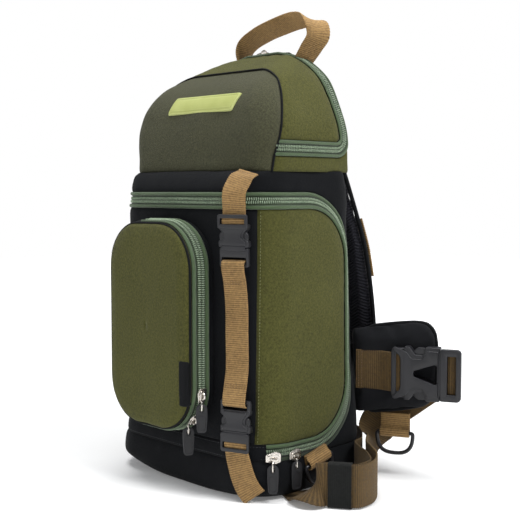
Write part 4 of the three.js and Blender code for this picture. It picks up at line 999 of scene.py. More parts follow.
pocket = pocket_skin().cut("body", 1.0)
face = pocket.cut("face")
shell = pocket.cut("face", above=True)
zipped = shell.cut("zip").cut("hinge", above=True)
gusset_back = shell.cut("zip", above=True)
gusset_hinge = shell.cut("zip").cut("hinge")
face.values["weave"] = face["at"][:, [0, 2]]
panel("pocket_front_cloth", face, np.maximum(-face["face"] * 1.6, 0), 1.9, OLIVE, "olive_fabric", "pocket_face", 121,
      wrinkle=0.9)
fine = zipped.refined(2)
pocket_half = (pocket_zip_back - pocket_zip_front) / 2
band("pocket_zip_tape", fine, fine["middle"], pocket_half, GREEN, "zip_tape", "pocket_zip")
coil("pocket_zip_coil", zipped.contour("middle", 0.0), pocket_half)
panel("pocket_side_cloth", gusset_back, np.minimum(gusset_back["zip"], -gusset_back["body"] + 1), 0.9, BLACK,
      "black_fabric", "pocket_gusset", 131, wrinkle=0.5)
hinge_edge = np.minimum(-gusset_hinge["hinge"], gusset_hinge["face"])
panel("pocket_hinge_cloth", gusset_hinge, hinge_edge, 0.8, BLACK,
      "black_fabric", "pocket_gusset", 141, wrinkle=0.3)
piping = [shifted(line, 0, 0.4, 2.5) for line in pocket.contour("face", -1.4)]
tube("pocket_piping", piping, 1.2, 0, BINDING, "black_fabric")
label = pocket.cut("tab").cut("face").refined(1)
proud = 1.4 * eased(-label["tab"] / 0.8) + 0.9
piece = to_object("side_tab", label["at"] + label["out"] * proud[:, None], label.faces, label["weave"])
dressed(thickened(piece, 1.2), BINDING, "black_fabric", "pocket_tab")


# Webbing

def catmull_rom(rows, t):
    """Centripetal Catmull-Rom through rows of points, t from 0 to 1."""
    last = len(rows) - 1
    i = min(last - 1, int(t * last))
    w = t * last - i
    p1, p2 = rows[i], rows[i + 1]
    p0 = rows[i - 1] if i > 0 else 2 * rows[0] - rows[1]
    p3 = rows[i + 2] if i + 2 <= last else 2 * rows[last] - rows[last - 1]
    d0, d1, d2 = (max(1e-4, float((b - a) @ (b - a)) ** 0.25) for a, b in ((p0, p1), (p1, p2), (p2, p3)))
    t1 = ((p1 - p0) / d0 - (p2 - p0) / (d0 + d1) + (p2 - p1) / d1) * d1
    t2 = ((p2 - p1) / d1 - (p3 - p1) / (d1 + d2) + (p3 - p2) / d2) * d1
    return p1 + t1 * w + (3 * (p2 - p1) - 2 * t1 - t2) * w**2 + (2 * (p1 - p2) + t1 + t2) * w**3


def strip_path(rows, width):
    """Even stations along a strip: middle, cross direction, face direction, half width and run."""
    at = np.array([row[0] for row in rows], float)
    cross = np.array([row[1] for row in rows], float)
    share = np.array([row[2] if len(row) > 2 else 1.0 for row in rows])
    ts = np.linspace(0, 1, 60 * (len(rows) - 1) + 1)
    dense = np.array([catmull_rom(at, t) for t in ts])
    run = np.concatenate([[0], np.cumsum(np.linalg.norm(np.diff(dense, axis=0), axis=1))])
    place = np.linspace(0, run[-1], max(8, int(run[-1] / 0.5)))
    t = np.interp(place, run, ts)
    middle = np.stack([np.interp(t, ts, dense[:, i]) for i in range(3)], axis=1)
    row = np.arange(len(rows)) / (len(rows) - 1)
    cross = np.stack([np.interp(t, row, cross[:, i]) for i in range(3)], axis=1)
    tangent = unit(np.gradient(middle, axis=0))
    cross = unit(cross - tangent * (cross * tangent).sum(axis=1)[:, None])
    return middle, cross, np.cross(tangent, cross), np.interp(t, row, share) * width / 2, place


def webbing(name, rows, width, material, slot, *nodes, rib=2.0, high=0.28, body="bag"):
    """Ribbed webbing with rounded edges along rows of (place, cross direction)."""
    middle, cross, face, half, run = strip_path(rows, width)
    wave = 0.5 + 0.5 * np.cos(run * 2 * math.pi / rib)
    profile = [(-1, 0), (-0.985, 0.7), (-0.93, 1), (-0.5, 1), (0, 1), (0.5, 1), (0.93, 1), (0.985, 0.7), (1, 0),
               (0.985, -0.7), (0.93, -1), (0.5, -1), (0, -1), (-0.5, -1), (-0.93, -1), (-0.985, -0.7)]
    count = len(profile)
    rings, weave = [], []
    uneven = 0.25 * ripple(middle, 34, len(name))
    for a, b in profile:
        thick = b * (web / 2 - high * (1 - wave)) + uneven * (0.4 if abs(a) < 0.9 else 0)
        edge = a * half + 0.18 * a * np.cos(run * 2 * math.pi / rib) * (abs(a) > 0.9)
        rings.append(middle + cross * edge[:, None] + face * np.asarray(thick)[:, None])
        weave.append(np.stack([a * half + (0 if b >= 0 else 60), run], axis=1))
    points = np.stack(rings, axis=1).reshape(-1, 3)
    faces = ring_faces(count, len(run)) + end_faces(count, len(run))
    piece = to_object(name, points, faces, np.stack(weave, axis=1).reshape(-1, 2))
    recalculated(piece.data)
    return dressed(piece, material, slot, *nodes, body=body)


def stitch_rows(rows, width, places, lift=web / 2 + 0.1, sides=(1,)):
    """Rows of stitches across a strip, at distances from its start (or, negative, from its end)."""
    middle, cross, face, half, run = strip_path(rows, width)
    lines = []
    for place in places:
        i = int(np.searchsorted(run, place if place >= 0 else run[-1] + place))
        i = min(len(run) - 1, max(0, i))
        for side in sides:
            a = np.linspace(-0.86, 0.86, 12)[:, None] * half[i]
            out = face[i] * side
            lines.append((middle[i] + cross[i] * a + out * lift, np.tile(out, (12, 1))))
    return lines


def on_corner(angle, z, out):
    o = body_outline(z)
    a = math.radians(angle - 90)
    n = vec(math.cos(a), math.sin(a), 0)
    r = o["rf"]
    p = crowned(o, o["half"] - r + r * n[0], r - o["front"] + r * n[1], n[0], n[1]) + vec(0, 0, z)
    return p + n * out, n, vec(-n[1], n[0], 0)


def on_front(x, z, out):
    o = body_outline(z)
    r = o["rf"]
    a = math.asin(max(0.0, min(1.0, (x - (o["half"] - r)) / r)))
    n = vec(math.sin(a), -math.cos(a), 0)
    flat = min(x, o["half"] - r)
    p = crowned(o, flat + r * n[0], r - o["front"] + r * n[1], n[0], n[1]) + vec(0, 0, z)
    return p + n * out, n, vec(-n[1], n[0], 0)


def on_side(y, z):
    """A place on the right side or on the corner in front of it: point, outward and run directions."""
    o = body_outline(z)
    r = o["rf"]
    past = max(0.0, min(1.0, (r - o["front"] - y) / r))
    n = vec(math.sqrt(1 - past**2), -past, 0)
    p = crowned(o, o["half"] - r * (1 - n[0]), y, n[0], n[1]) + vec(0, 0, z)
    return p, n, vec(-n[1], n[0], 0)


ALONG_X, ALONG_Z = vec(1, 0, 0), vec(0, 0, 1)


# Plates with rounded edges, for buckles, pulls and sliders

def rounded(corners, steps=5):
    """Corners (x, y, radius) as a list of points with true arcs."""
    points = []
    for i, (x, y, r) in enumerate(corners):
        p = vec(x, y)
        a = vec(*corners[i - 1][:2]) - p
        b = vec(*corners[(i + 1) % len(corners)][:2]) - p
        la, lb = np.linalg.norm(a), np.linalg.norm(b)
        a, b = a / la, b / lb
        angle = math.acos(max(-1.0, min(1.0, float(a @ b))))
        cut = min(r / math.tan(angle / 2) if angle < 3.1 else 0, la * 0.49, lb * 0.49)
        if cut < 0.02:
            points.append(tuple(p))
            continue
        r = cut * math.tan(angle / 2)
        centre = p + unit(a + b) * r / math.sin(angle / 2)
        u, v = p + a * cut - centre, p + b * cut - centre
        whole = math.acos(max(-1.0, min(1.0, float(u @ v) / (r * r))))
        for k in range(steps + 1):
            t = k / steps
            share = (math.sin((1 - t) * whole) * u + math.sin(t * whole) * v) / max(1e-6, math.sin(whole))
            points.append(tuple(centre + share))
    return points


def box_loop(x0, y0, x1, y1, r):
    return rounded([(x0, y0, r), (x1, y0, r), (x1, y1, r), (x0, y1, r)])


def ellipse(x, y, rx, ry, steps=20):
    angles = [2 * math.pi * k / steps for k in range(steps)]
    return [(x + rx * math.cos(a), y + ry * math.sin(a)) for a in angles]


def plate(loops, low, high, edge=0.6):
    """Points and faces of a plate with holes: the first loop is its outline."""
    curve = bpy.data.curves.new("plate", "CURVE")
    curve.dimensions = "2D"
    curve.fill_mode = "BOTH"
    for loop in loops:
        line = curve.splines.new("POLY")
        line.points.add(len(loop) - 1)
        for point, (x, y) in zip(line.points, loop):
            point.co = (x, y, 0, 1)
        line.use_cyclic_u = True
    edge = min(edge, (high - low) * 0.45)
    curve.extrude = (high - low) / 2 - edge
    curve.bevel_depth = edge
    curve.bevel_resolution = 2
    curve.offset = -edge
    holder = linked("plate", curve)
    mesh = finished_mesh(holder)
    points = np.array([tuple(v.co) for v in mesh.vertices]) + vec(0, 0, (low + high) / 2)
    faces = [list(p.vertices) for p in mesh.polygons]
    bpy.data.objects.remove(holder)
    bpy.data.meshes.remove(mesh)
    return points, faces


def placed(name, solids, place, material, slot, *nodes, body="bag"):
    """Solids drawn flat, as (points, faces), set in a frame of (x, y, z, origin)."""
    x, y, z, origin = place
    turn = np.stack([x, y, z])
    points, faces, first = [], [], 0
    for at, shape in solids:
        points.append(at @ turn + origin)
        faces += [[first + i for i in face] for face in shape]
        first += len(at)
    piece = to_object(name, np.concatenate(points), faces)
    recalculated(piece.data, crease=0.7)
    return dressed(piece, material, slot, *nodes, body=body)


def buckle(name, width, length, thick, strap, place, window, raised=()):
    """Side-release buckle drawn standing up: the socket above, the catch with its two arms below.

    An end that is raised has its bar in front of the webbing; the belt's buckle has a window.
    """
    half, top, split = width / 2, length / 2, -length * (0.2 if window else 0.12)
    bar, slot_high, slot_half = length * 0.075, web * (4.6 if window else 3), (strap / 2 - 1 if window else strap / 2 + clear)
    frame_deep = thick * 0.62
    frame_half = max(half * 0.92, slot_half + bar * 0.8)
    slot_top, slot_low = top - bar, top - bar - slot_high
    waist = half * 0.7
    right = [(half, split, 1.5), (half, length * 0.0, 1.5), (waist, length * 0.035, 2.5),
             (waist, length * 0.15, 3), (half * 0.99, length * 0.235, 3), (half * 0.99, slot_low, 1)]
    outline = rounded(right + [(-x, y, r) for x, y, r in reversed(right)])
    shield = [(half * 0.86, split + 1.5, 1.5), (half * 0.86, -length * 0.02, 1.5), (half * 0.56, length * 0.05, 3),
              (half * 0.56, length * 0.14, 3), (half * 0.8, length * 0.24, 3), (half * 0.8, slot_low - 1.5, 1)]
    hole = []
    if window:
        reach, sill, tip = half * 0.4, split + 2.5, length * 0.17
        hole = [rounded([(reach, sill, 2.5), (reach * 0.25, tip, 2), (-reach * 0.25, tip, 2), (-reach, sill, 2.5)])]
    if window:
        shield[3:] = [(half * 0.56, length * 0.2, 4), (half * 0.8, length * 0.27, 4), (half * 0.98, length * 0.44, 2),
                      (half * 0.9, length * 0.49, 2), (half * 0.62, length * 0.36, 9)]
    shield = rounded(shield + [(-x, y, r) for x, y, r in reversed(shield)])
    end_low = {"socket": -frame_deep / 2, "catch": -frame_deep / 2}
    end_high = {"socket": frame_deep / 2, "catch": frame_deep / 2}
    for end in raised:
        end_low[end], end_high[end] = 1.3, thick / 2 + 0.6
    frame_loops = [
        box_loop(-frame_half, slot_low - bar * 1.2, frame_half, top, width * 0.07),
        box_loop(-slot_half, slot_low, slot_half, slot_top, 0.8),
    ]
    socket = [
        plate([outline] + hole, -thick / 2, thick / 2 - 1.1, 0.9),
        plate([shield] + hole, thick / 2 - 2.0, thick / 2, 0.8),
        plate(frame_loops, end_low["socket"], end_high["socket"], 0.9),
    ]
    placed(name + "_socket_moulding", socket, place, PLASTIC, "black_plastic", name + "_socket")
    low = split - 0.3
    catch_loops = [
        rounded([(half * 0.96, low, 2), (half * 0.96, -top, width * 0.08), (-half * 0.96, -top, width * 0.08),
                 (-half * 0.96, low, 2)]),
        box_loop(-slot_half, -top + bar, slot_half, -top + bar + slot_high, 0.8),
    ]
    inner = thick * 0.4
    solids = [plate(catch_loops, end_low["catch"], end_high["catch"], 0.9),
              plate([box_loop(-half * 0.8, low - 3, half * 0.8, low + 2, 1)], -thick * 0.44, thick * 0.44, 0.8)]
    for side in (-1, 1):
        arm = [(side * half * 0.62, low - 1, 1), (side * half * 0.62, length * 0.16, 2),
               (side * half * 0.8, length * 0.19, 2), (side * half * 0.97, length * 0.12, 4),
               (side * half * 0.97, length * 0.05, 2), (side * half * 0.8, low - 1, 1)]
        solids.append(plate([rounded(arm)], -inner / 2, inner / 2, 0.7))
    if not window:
        solids.append(plate([box_loop(-half * 0.14, low - 2, half * 0.14, length * 0.2, 1)], -inner / 2, inner / 2, 0.5))
    placed(name + "_catch_moulding", solids, place, PLASTIC, "black_plastic", name + "_catch")


strap_out = buckle_thickness / 2 + clear
buckle_bar, buckle_slot = buckle_length * 0.075, web * 3
slot_up = buckle_length / 2 - buckle_bar - buckle_slot / 2
bar_past = buckle_bar + buckle_slot / 2 + web
front_of_bar = strap_out + buckle_thickness * 0.31 + on_web

for name, z, raised in (("upper_buckle", upper_buckle, ("socket",)), ("lower_buckle", lower_buckle, ("catch",))):
    seat, normal, along = on_corner(strap_angle, z, strap_out)
    tangent = unit(on_corner(strap_angle, z + 10, strap_out)[0] - seat)
    buckle(name, buckle_width, buckle_length, buckle_thickness, strap_width,
           (along, tangent, np.cross(along, tangent), seat), False, raised)


def corner_rows(rows):
    """Rows of (height, distance out, distance aside) down the strap's line on the corner."""
    made = []
    for z, out, aside in rows:
        if aside:
            point, _, along = on_front(on_corner(strap_angle, z, 0)[0][0] + aside, z, out)
        else:
            point, _, along = on_corner(strap_angle, z, out)
        made.append((point, along))
    return made


def under_bar(z, way):
    return [(z + way * (bar_past + 8), strap_out, 0), (z + way * (buckle_slot * 0.5 + buckle_bar), strap_out - 0.4, 0),
            (z + way * 1.2, strap_out + 1.6, 0), (z - way * 1.6, strap_out + 1.6, 0), (z - way * 5, strap_out - 0.6, 0)]


def over_bar(z, way):
    return [(z + way * (bar_past + 14), strap_out, 0), (z + way * bar_past, front_of_bar, 0),
            (z + way * web * 1.1, front_of_bar, 0), (z, strap_out, 0)]


upper_slot, upper_low = upper_buckle + slot_up, upper_buckle - slot_up
lower_slot, lower_low = lower_buckle + slot_up, lower_buckle - slot_up
top_rows = corner_rows([(body_height - 0.5, 1.5, 4.2), (body_height - 5, 5, 3.9), (body_height - 11, 6, 3.2), (zip_top + zip_half, 7, 1.6)]
                       + under_bar(upper_slot, 1)[1:])
middle_rows = corner_rows(
    over_bar(upper_low, -1)[::-1]
    + [(upper_low - 45, on_web, 0), ((upper_low + lower_slot) / 2, on_web, 0), (lower_slot + 35, on_web, 0)]
    + over_bar(lower_slot, 1))
bottom_rows = corner_rows(
    under_bar(lower_low, -1)[1:][::-1]
    + [(base_seam * 0.65, on_web * 1.5, 5), (base_seam * 0.35, on_web * 1.2, 9), (base_seam * 0.15, on_web, 13)])
for part, rows in (("top", top_rows), ("middle", middle_rows), ("bottom", bottom_rows)):
    webbing("front_webbing_" + part, rows, strap_width, TAN, "tan_webbing", "front_strap_" + part)
stitches = stitch_rows(middle_rows, strap_width, (22, 24.5, -24, -21.5), sides=(1, -1))
stitches += stitch_rows(top_rows, strap_width, (3, -22), sides=(1, -1))
beads("front_webbing_stitches", stitches, 2.6, (1.9, 0.6, 0.5), TAN_THREAD, "tan_webbing")

# Waist belt

yaw = math.radians(belt_yaw)
wing_root = vec(body_half - 9, back_depth - 4, 0)
wing_along = vec(math.cos(yaw), math.sin(yaw), 0)
wing_face = vec(math.sin(yaw), -math.cos(yaw), 0)


def on_wing(u, out, z):
    return wing_root + wing_along * u + wing_face * out + vec(0, 0, z)


belt_out = wing_thickness / 2 + clear + belt_buckle_thickness / 2
belt_middle = belt_buckle_start + belt_buckle_length / 2
buckle("belt_buckle", belt_buckle_width, belt_buckle_length, belt_buckle_thickness, belt_width,
       (ALONG_Z, -wing_along, wing_face, on_wing(belt_middle, belt_out, belt_height)), True, ("catch",))
belt_bar, belt_slot = belt_buckle_length * 0.075, web * 3
belt_turn = belt_bar + belt_slot / 2
belt_slot_up = belt_buckle_length / 2 - belt_turn
socket_slot, catch_slot = belt_middle - belt_slot_up, belt_middle + belt_slot_up
wing_front, behind_wing = wing_thickness / 2, -wing_thickness / 2 - on_web
belt_rows = [(on_wing(u, out, belt_height), ALONG_Z) for u, out in (
    (0, wing_front + on_web), (12, wing_front + on_web), (socket_slot - belt_turn - 12, wing_front + on_web * 1.5),
    (socket_slot - belt_turn - web, belt_out), (socket_slot - web, belt_out + 1.8), (socket_slot + 3, belt_out + 1.8))]
webbing("belt_webbing_front", belt_rows, belt_width, BELT_TAN_PAINTED_SHADE, "tan_webbing", "belt_webbing")

floor_z = belt_width / 2 + 1 + clear
LOOP = ((0.21, 0.86), (0.47, 0.64), (0.76, 0.4), (0.97, 0.09), (1.02, -0.12), (1.0, -0.29), (0.91, -0.36),
        (0.81, -0.425), (0.7, -0.49), (0.6, -0.54))
FLAT = ((0.49, -0.56, 0.86, 40), (0.36, -0.52, 0.56, 72), (0.22, -0.42, 0.2, 86), (0.08, -0.34, 0.08, 90),
        (-0.03, -0.3, 0.08, 90))


def loop_place(beyond, behind, up=1.0):
    return vec(body_half + beyond * loop_reach, behind * loop_reach, up * floor_z)


outer = [loop_place(*row) for row in LOOP]
inner = []
for i, p in enumerate(outer):
    along = unit(outer[min(len(outer) - 1, i + 1)] - outer[max(0, i - 1)])
    inner.append(p + vec(along[1], -along[0], 0) * strap_fold)
falling = -wing_along * math.sin(math.radians(36)) + vec(0, 0, math.cos(math.radians(36)))
flat_end = []
for beyond, behind, up, flat in FLAT:
    a = math.radians(flat)
    cross = vec(0.35 * math.sin(a), 0.94 * math.sin(a), math.cos(a))
    flat_end.append((loop_place(beyond, behind, up), cross))
strap_rows = [
    (on_wing(catch_slot - 7, belt_out - 2, belt_height), ALONG_Z),
    (on_wing(catch_slot - 4.5, belt_out + 1.6, belt_height), ALONG_Z),
    (on_wing(catch_slot + 0.5, belt_out + 1.4, belt_height), ALONG_Z),
    (on_wing(catch_slot + 5, belt_out - 2.5, belt_height), ALONG_Z),
    (on_wing(wing_length + 11, 0, belt_height - 1), ALONG_Z),
    (on_wing(wing_length + 6, behind_wing - 2, belt_height - 4), falling),
    (on_wing(wing_length - 8, behind_wing - 4, belt_height - 12), falling),
    (on_wing(wing_length - 32, behind_wing - 7, belt_height - 30), falling),
    (on_wing(wing_length - 54, behind_wing - 8, belt_height - 48), falling),
    (on_wing(16.5, behind_wing, belt_height - 66), vec(-0.25, -0.1, 0.9)),
    (on_wing(14.5, 2, floor_z + 8), ALONG_Z),
] + [(p, ALONG_Z) for p in outer] + flat_end
webbing("belt_strap_webbing", strap_rows, belt_width, BELT_TAN_PAINTED_SHADE, "tan_webbing", "belt_strap")


def leftward(p):
    return p * vec(-1, 1, 1)


BEHIND = ((0.62, 0.31), (0.36, 0.45), (0.15, 0.6), (0.08, 0.8), (-0.09, 0.97), (-0.22, 1.13), (-0.5, 1.3))
rear_rows = inner[3:][::-1] + [vec(body_half + a * loop_reach, b * back_depth, floor_z) for a, b in BEHIND] + [
    vec(body_half * 0.4, back_depth * 1.5, floor_z), vec(-body_half * 0.3, back_depth * 1.54, floor_z),
    vec(-body_half, back_depth * 1.62, floor_z),
    vec(-body_half - wing_length * 0.5, back_depth * 1.84, floor_z + 4),
    leftward(on_wing(wing_length - 2, behind_wing - 34, floor_z + 20)),
    leftward(on_wing(wing_length + 10, behind_wing - 18, belt_height - 32)),
    leftward(on_wing(wing_length + 2, behind_wing - 9, belt_height - 10)),
    leftward(on_wing(wing_length - 12, behind_wing - 3, belt_height)),
    leftward(on_wing(wing_length - 32, behind_wing, belt_height)),
]
rear_rows = [(p, ALONG_Z) for p in rear_rows]
webbing("belt_strap_rear_webbing", rear_rows, belt_width, BELT_TAN_PAINTED_SHADE, "tan_webbing", "belt_strap_rear")
stitches = stitch_rows(belt_rows, belt_width, (3, 6), sides=(1, -1))
stitches += stitch_rows(rear_rows, belt_width, (5, 8), sides=(1, -1))
beads("belt_webbing_stitches", stitches, 2.6, (1.9, 0.6, 0.5), TAN_THREAD, "tan_webbing")


def keeper():
    """Elastic sleeve round the doubled strap, ribbed along its length."""
    a, b = (outer[6] + inner[6]) / 2, (outer[8] + inner[8]) / 2
    run = unit(b - a)
    across = np.cross(ALONG_Z, run)
    rows = []
    steps = 45
    half_x, half_z = strap_fold / 2 + web / 2 + 1, belt_width / 2 + clear / 2

    def row(s, grow):
        loop = np.array(box_loop(-half_x - grow, -half_z - grow, half_x + grow, half_z + grow, 1.6 + grow))
        middle = (a + b) / 2 + run * (s - 0.5) * 22
        return middle + loop[:, :1] * across + loop[:, 1:] * ALONG_Z

    for k in range(steps + 1):
        rows.append(row(k / steps, 0.75 + 0.25 * math.cos(k * math.pi)))
    rows += [row(1 - k / 4, 0.1) for k in range(5)]
    faces = ring_faces(len(rows[0]), len(rows), closed=True)
    points = np.concatenate(rows)
    weave = np.stack([points[:, 2], points @ run], axis=1)
    piece = to_object("elastic_keeper", points, faces, weave)
    recalculated(piece.data)
    dressed(piece, ELASTIC, "black_elastic", "strap_keeper")


keeper()


# Padded pieces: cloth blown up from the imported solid

def pad(name, node, material, slot, voxel=3.6, inset=1.1, pressure=4.0, most=3.2):
    """A padded piece: the solid's copy, remeshed, a little smaller, filled with pressure and smoothed."""
    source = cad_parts[node]
    mesh = source.data.copy()
    mesh.transform(source.matrix_world)
    recalculated(mesh)
    piece = linked(name, mesh)
    remesh = piece.modifiers.new("remesh", "REMESH")
    remesh.mode = "VOXEL"
    remesh.voxel_size = voxel * MM
    remesh.use_smooth_shade = True
    apply_modifiers(piece)
    smooth = piece.modifiers.new("soft", "SMOOTH")
    smooth.iterations = 4
    apply_modifiers(piece)
    base = coordinates(piece)
    normals = np.array([tuple(v.normal) for v in piece.data.vertices])
    base = base - normals * inset * MM
    put_coordinates(piece, base)
    cloth = piece.modifiers.new("cloth", "CLOTH")
    cloth.settings.quality = 5
    cloth.settings.mass = 0.3
    cloth.settings.tension_stiffness = 12
    cloth.settings.compression_stiffness = 12
    cloth.settings.use_pressure = True
    cloth.settings.uniform_pressure_force = pressure
    cloth.settings.effector_weights.gravity = 0
    for number in range(1, 21):
        scene.frame_set(number)
    apply_modifiers(piece)
    scene.frame_set(1)
    moved = coordinates(piece) - base
    moved = moved - moved.mean(axis=0)
    far = np.linalg.norm(moved, axis=1, keepdims=True)
    put_coordinates(piece, base + moved * np.minimum(1, most * MM / np.maximum(far, 1e-9)))
    finer = piece.modifiers.new("finer", "SUBSURF")
    finer.levels = finer.render_levels = 1
    apply_modifiers(piece)
    piece.data.polygons.foreach_set("use_smooth", [True] * len(piece.data.polygons))
    dressed(piece, material, slot, node)
    return piece


def apply_modifiers(piece):
    made = finished_mesh(piece)
    piece.modifiers.clear()
    piece.data = made


def coordinates(piece):
    flat = np.empty(len(piece.data.vertices) * 3)
    piece.data.vertices.foreach_get("co", flat)
    return flat.reshape(-1, 3)


def put_coordinates(piece, at):
    piece.data.vertices.foreach_set("co", np.asarray(at, float).ravel())
    piece.data.update()


pad("belt_pad_right", "belt_wing_right", PAD, "black_fabric")
pad("belt_pad_left", "belt_wing_left", PAD, "black_fabric")
pad("shoulder_pad", "shoulder_strap", MESH, "black_mesh", voxel=4.0)


def wing_binding():
    """Bound edge round each belt pad."""
    for name, mirror in (("right", 1), ("left", -1)):
        line = []
        for x, y, r in ((12, -44, 4), (wing_length - 1, -44, 22), (wing_length - 1, 44, 22), (12, 44, 4)):
            line.append((x, y, r))
        loop = rounded(line, 8)
        start = max(range(len(loop)), key=lambda i: -loop[i][0] - loop[i][1] * 0.001)
        loop = loop[start:] + loop[:start]
        at = np.array([on_wing(x, 0, wing_middle + y + wing_rise * x / wing_length) for x, y in loop])
        out = unit(at - at.mean(axis=0))
        at = at * vec(mirror, 1, 1)
        out = out * vec(mirror, 1, 1)
        tube("belt_pad_binding_" + name, [evened(at, out, 3.0)], 1.9, 0.4, BINDING, "black_fabric")


wing_binding()


# D-rings in their webbing loops

def d_ring(name, place, loop_up, body):
    x, y, z, origin = place
    half, r = ring_inside / 2 + ring_wire / 2, ring_wire / 2
    bow = []
    for a in np.linspace(0, -math.pi, 33):
        across = math.copysign(abs(math.cos(a)) ** 0.72, math.cos(a))
        bow.append((half * across, (ring_drop - r) * -abs(math.sin(a)) ** 0.72))
    line = rounded([(-half, 0, 2.5), (half, 0, 2.5)] + [(px, py, 0) for px, py in bow[1:-1]], 4)
    line.append(line[0])
    at = np.array([origin + x * px + y * py for px, py in line])
    tube(name + "_moulding", [(at, np.tile(z, (len(at), 1)))], r, 0, RING, "black_plastic", name, sides=12,
         body=body)
    middle = ring_wire / 2 + clear + web / 2
    rows = [(origin + y * loop_up - z * middle, x), (origin + y * loop_up * 0.5 - z * middle, x)]
    for k in range(7):
        a = math.pi + math.pi * k / 6
        rows.append((origin + z * middle * math.cos(a) + y * middle * math.sin(a), x))
    rows += [(origin + z * middle * 0.8 + y * 3, x), (origin - z * middle * 0.1 + y * 6.5, x),
             (origin - z * (middle - web - 0.2) + y * (loop_up - 0.2), x)]
    webbing(name + "_loop_webbing", rows, ring_web, TAN, "tan_webbing", name + "_loop")


tilt = math.radians(side_ring_tilt)
ring_out = ring_wire / 2 + clear + web + 0.3
origin = vec(on_side(side_ring_back, zip_bottom)[0][0] + ring_out, side_ring_back, side_ring_height)
d_ring("side_ring", (vec(0, math.cos(tilt), math.sin(tilt)), vec(0, -math.sin(tilt), math.cos(tilt)), ALONG_X,
                     origin), 10, "side_d_ring")
wing_edge = wing_middle - wing_height / 2 + wing_rise * belt_ring_along / wing_length
origin = on_wing(belt_ring_along, 0, wing_edge - belt_ring_below)
d_ring("belt_ring", (wing_along, ALONG_Z, wing_face, origin), 20, "belt_d_ring")


# Zip sliders and pulls

def slider(name, place, node):
    """Nickel slider: shaped body, raised rim and bridge."""
    body_loop = rounded([(-3.4, -7.4, 1), (3.4, -7.4, 1), (5.9, 2.2, 2), (4.2, 7.6, 1.8), (-4.2, 7.6, 1.8),
                         (-5.9, 2.2, 2)])
    rim = rounded([(-2.4, -5.5, 1), (2.4, -5.5, 1), (4.2, 1.9, 1.8), (2.9, 5.5, 1.2), (-2.9, 5.5, 1.2), (-4.2, 1.9, 1.8)])
    bridge_arc = [(0.0, -3.2 * math.cos(a), 2.2 + 2.4 * math.sin(a)) for a in np.linspace(0, math.pi, 15)]
    bridge = swept(np.array(bridge_arc), 0.95)
    placed(name + "_casting", [plate([body_loop], 0, 1.7, 0.5), plate([rim], 1.2, 2.6, 0.5), bridge], place, NICKEL,
           "slider_metal", node)


def swept(path, radius, sides=8):
    """A round bar along a path in the drawing frame."""
    tangent = unit(np.gradient(path, axis=0))
    side = vec(1, 0, 0)
    up = unit(np.cross(tangent, side))
    a = np.arange(sides)[:, None] * 2 * math.pi / sides
    points = [path[k] + radius * (np.cos(a) * side + np.sin(a) * up[k]) for k in range(len(path))]
    return np.concatenate(points), ring_faces(sides, len(path)) + end_faces(sides, len(path))


def pull(name, place, node):
    """Rubber pull with a raised rim, hanging from a nickel link."""
    outline = rounded([(-4.4, -27, 3), (4.4, -27, 3), (5.5, -12, 8), (5.3, 0, 4.5), (-5.3, 0, 4.5), (-5.5, -12, 8)])
    hole = ellipse(0, -4.6, 2.0, 2.4)
    field = rounded([(-3.1, -25, 2), (3.1, -25, 2), (3.9, -10, 4), (-3.9, -10, 4)])
    placed(name + "_moulding", [plate([outline, hole], 0, 2.4, 0.7), plate([outline, hole, field], 1.6, 3.0, 0.5)],
           place, RUBBER, "pull_rubber", node)
    ring = [(0.0, -4.2 + 4.6 * math.cos(a) + 2.2, 1.6 + 1.5 * math.sin(a)) for a in np.linspace(0, 2 * math.pi, 22)]
    placed(name + "_link", [swept(np.array(ring), 0.75)], place, NICKEL, "slider_metal")


def turned(normal, degrees):
    """Across and outward directions of a hanging pull that has swung round."""
    a = math.atan2(normal[1], normal[0]) + math.radians(degrees)
    lie = vec(math.cos(a), math.sin(a), 0)
    return vec(-lie[1], lie[0], 0), lie


for i, y in enumerate((-58, -36)):
    seat, normal, run = on_side(y, zip_bottom - 4)
    slider(f"main_slide_{i + 1}", (vec(0, 0, -1), run, normal, seat + normal * 1.2), f"main_slider_{i + 1}")
    reach = max(0.0, *(float((on_side(y, z)[0] - seat) @ normal) for z in (zip_bottom / 2, base_radius)))
    hang = seat + normal * (0.9 + clear + reach)
    hang[2] = zip_bottom - 4 - 5.5
    turn, lie = turned(normal, -28 if i == 0 else -22)
    pull(f"main_grip_{i + 1}", (turn, ALONG_Z, lie, hang + lie * 2), f"main_pull_{i + 1}")
for i, z in enumerate((98, 74)):
    lean = math.asin(max(0.0, (pocket_bottom + pocket_corner - z) / pocket_corner))
    normal, run = vec(math.cos(lean), 0, -math.sin(lean)), vec(math.sin(lean), 0, math.cos(lean))
    seat_x = pocket_right - pocket_corner * (1 - math.cos(lean)) + (0 if lean > 0 else 0.6)
    at = vec(seat_x, (pocket_zip_front + pocket_zip_back) / 2, z)
    slider(f"pocket_slide_{i + 1}", (vec(0, 1, 0), run, normal, at + normal * 0.4), f"pocket_slider_{i + 1}")
    end = at - run * 6.5 + normal * 2.5 + vec(-1.2, -4 * i, -0.4)
    turn, lie = turned(ALONG_X, -38 if i == 0 else -30)
    pull(f"pocket_grip_{i + 1}", (turn, ALONG_Z, lie, end + lie * 3.2), f"pocket_pull_{i + 1}")
top_zip = hood_zip_rear - hood_zip_lean * (hood_height - hood_zip_height)
slider("hood_slide", (vec(0, -1, 0), ALONG_X, ALONG_Z, vec(-4, top_zip, hood_base + hood_height + 0.8)),
       "hood_slider")

# Carrying handle and shoulder strap

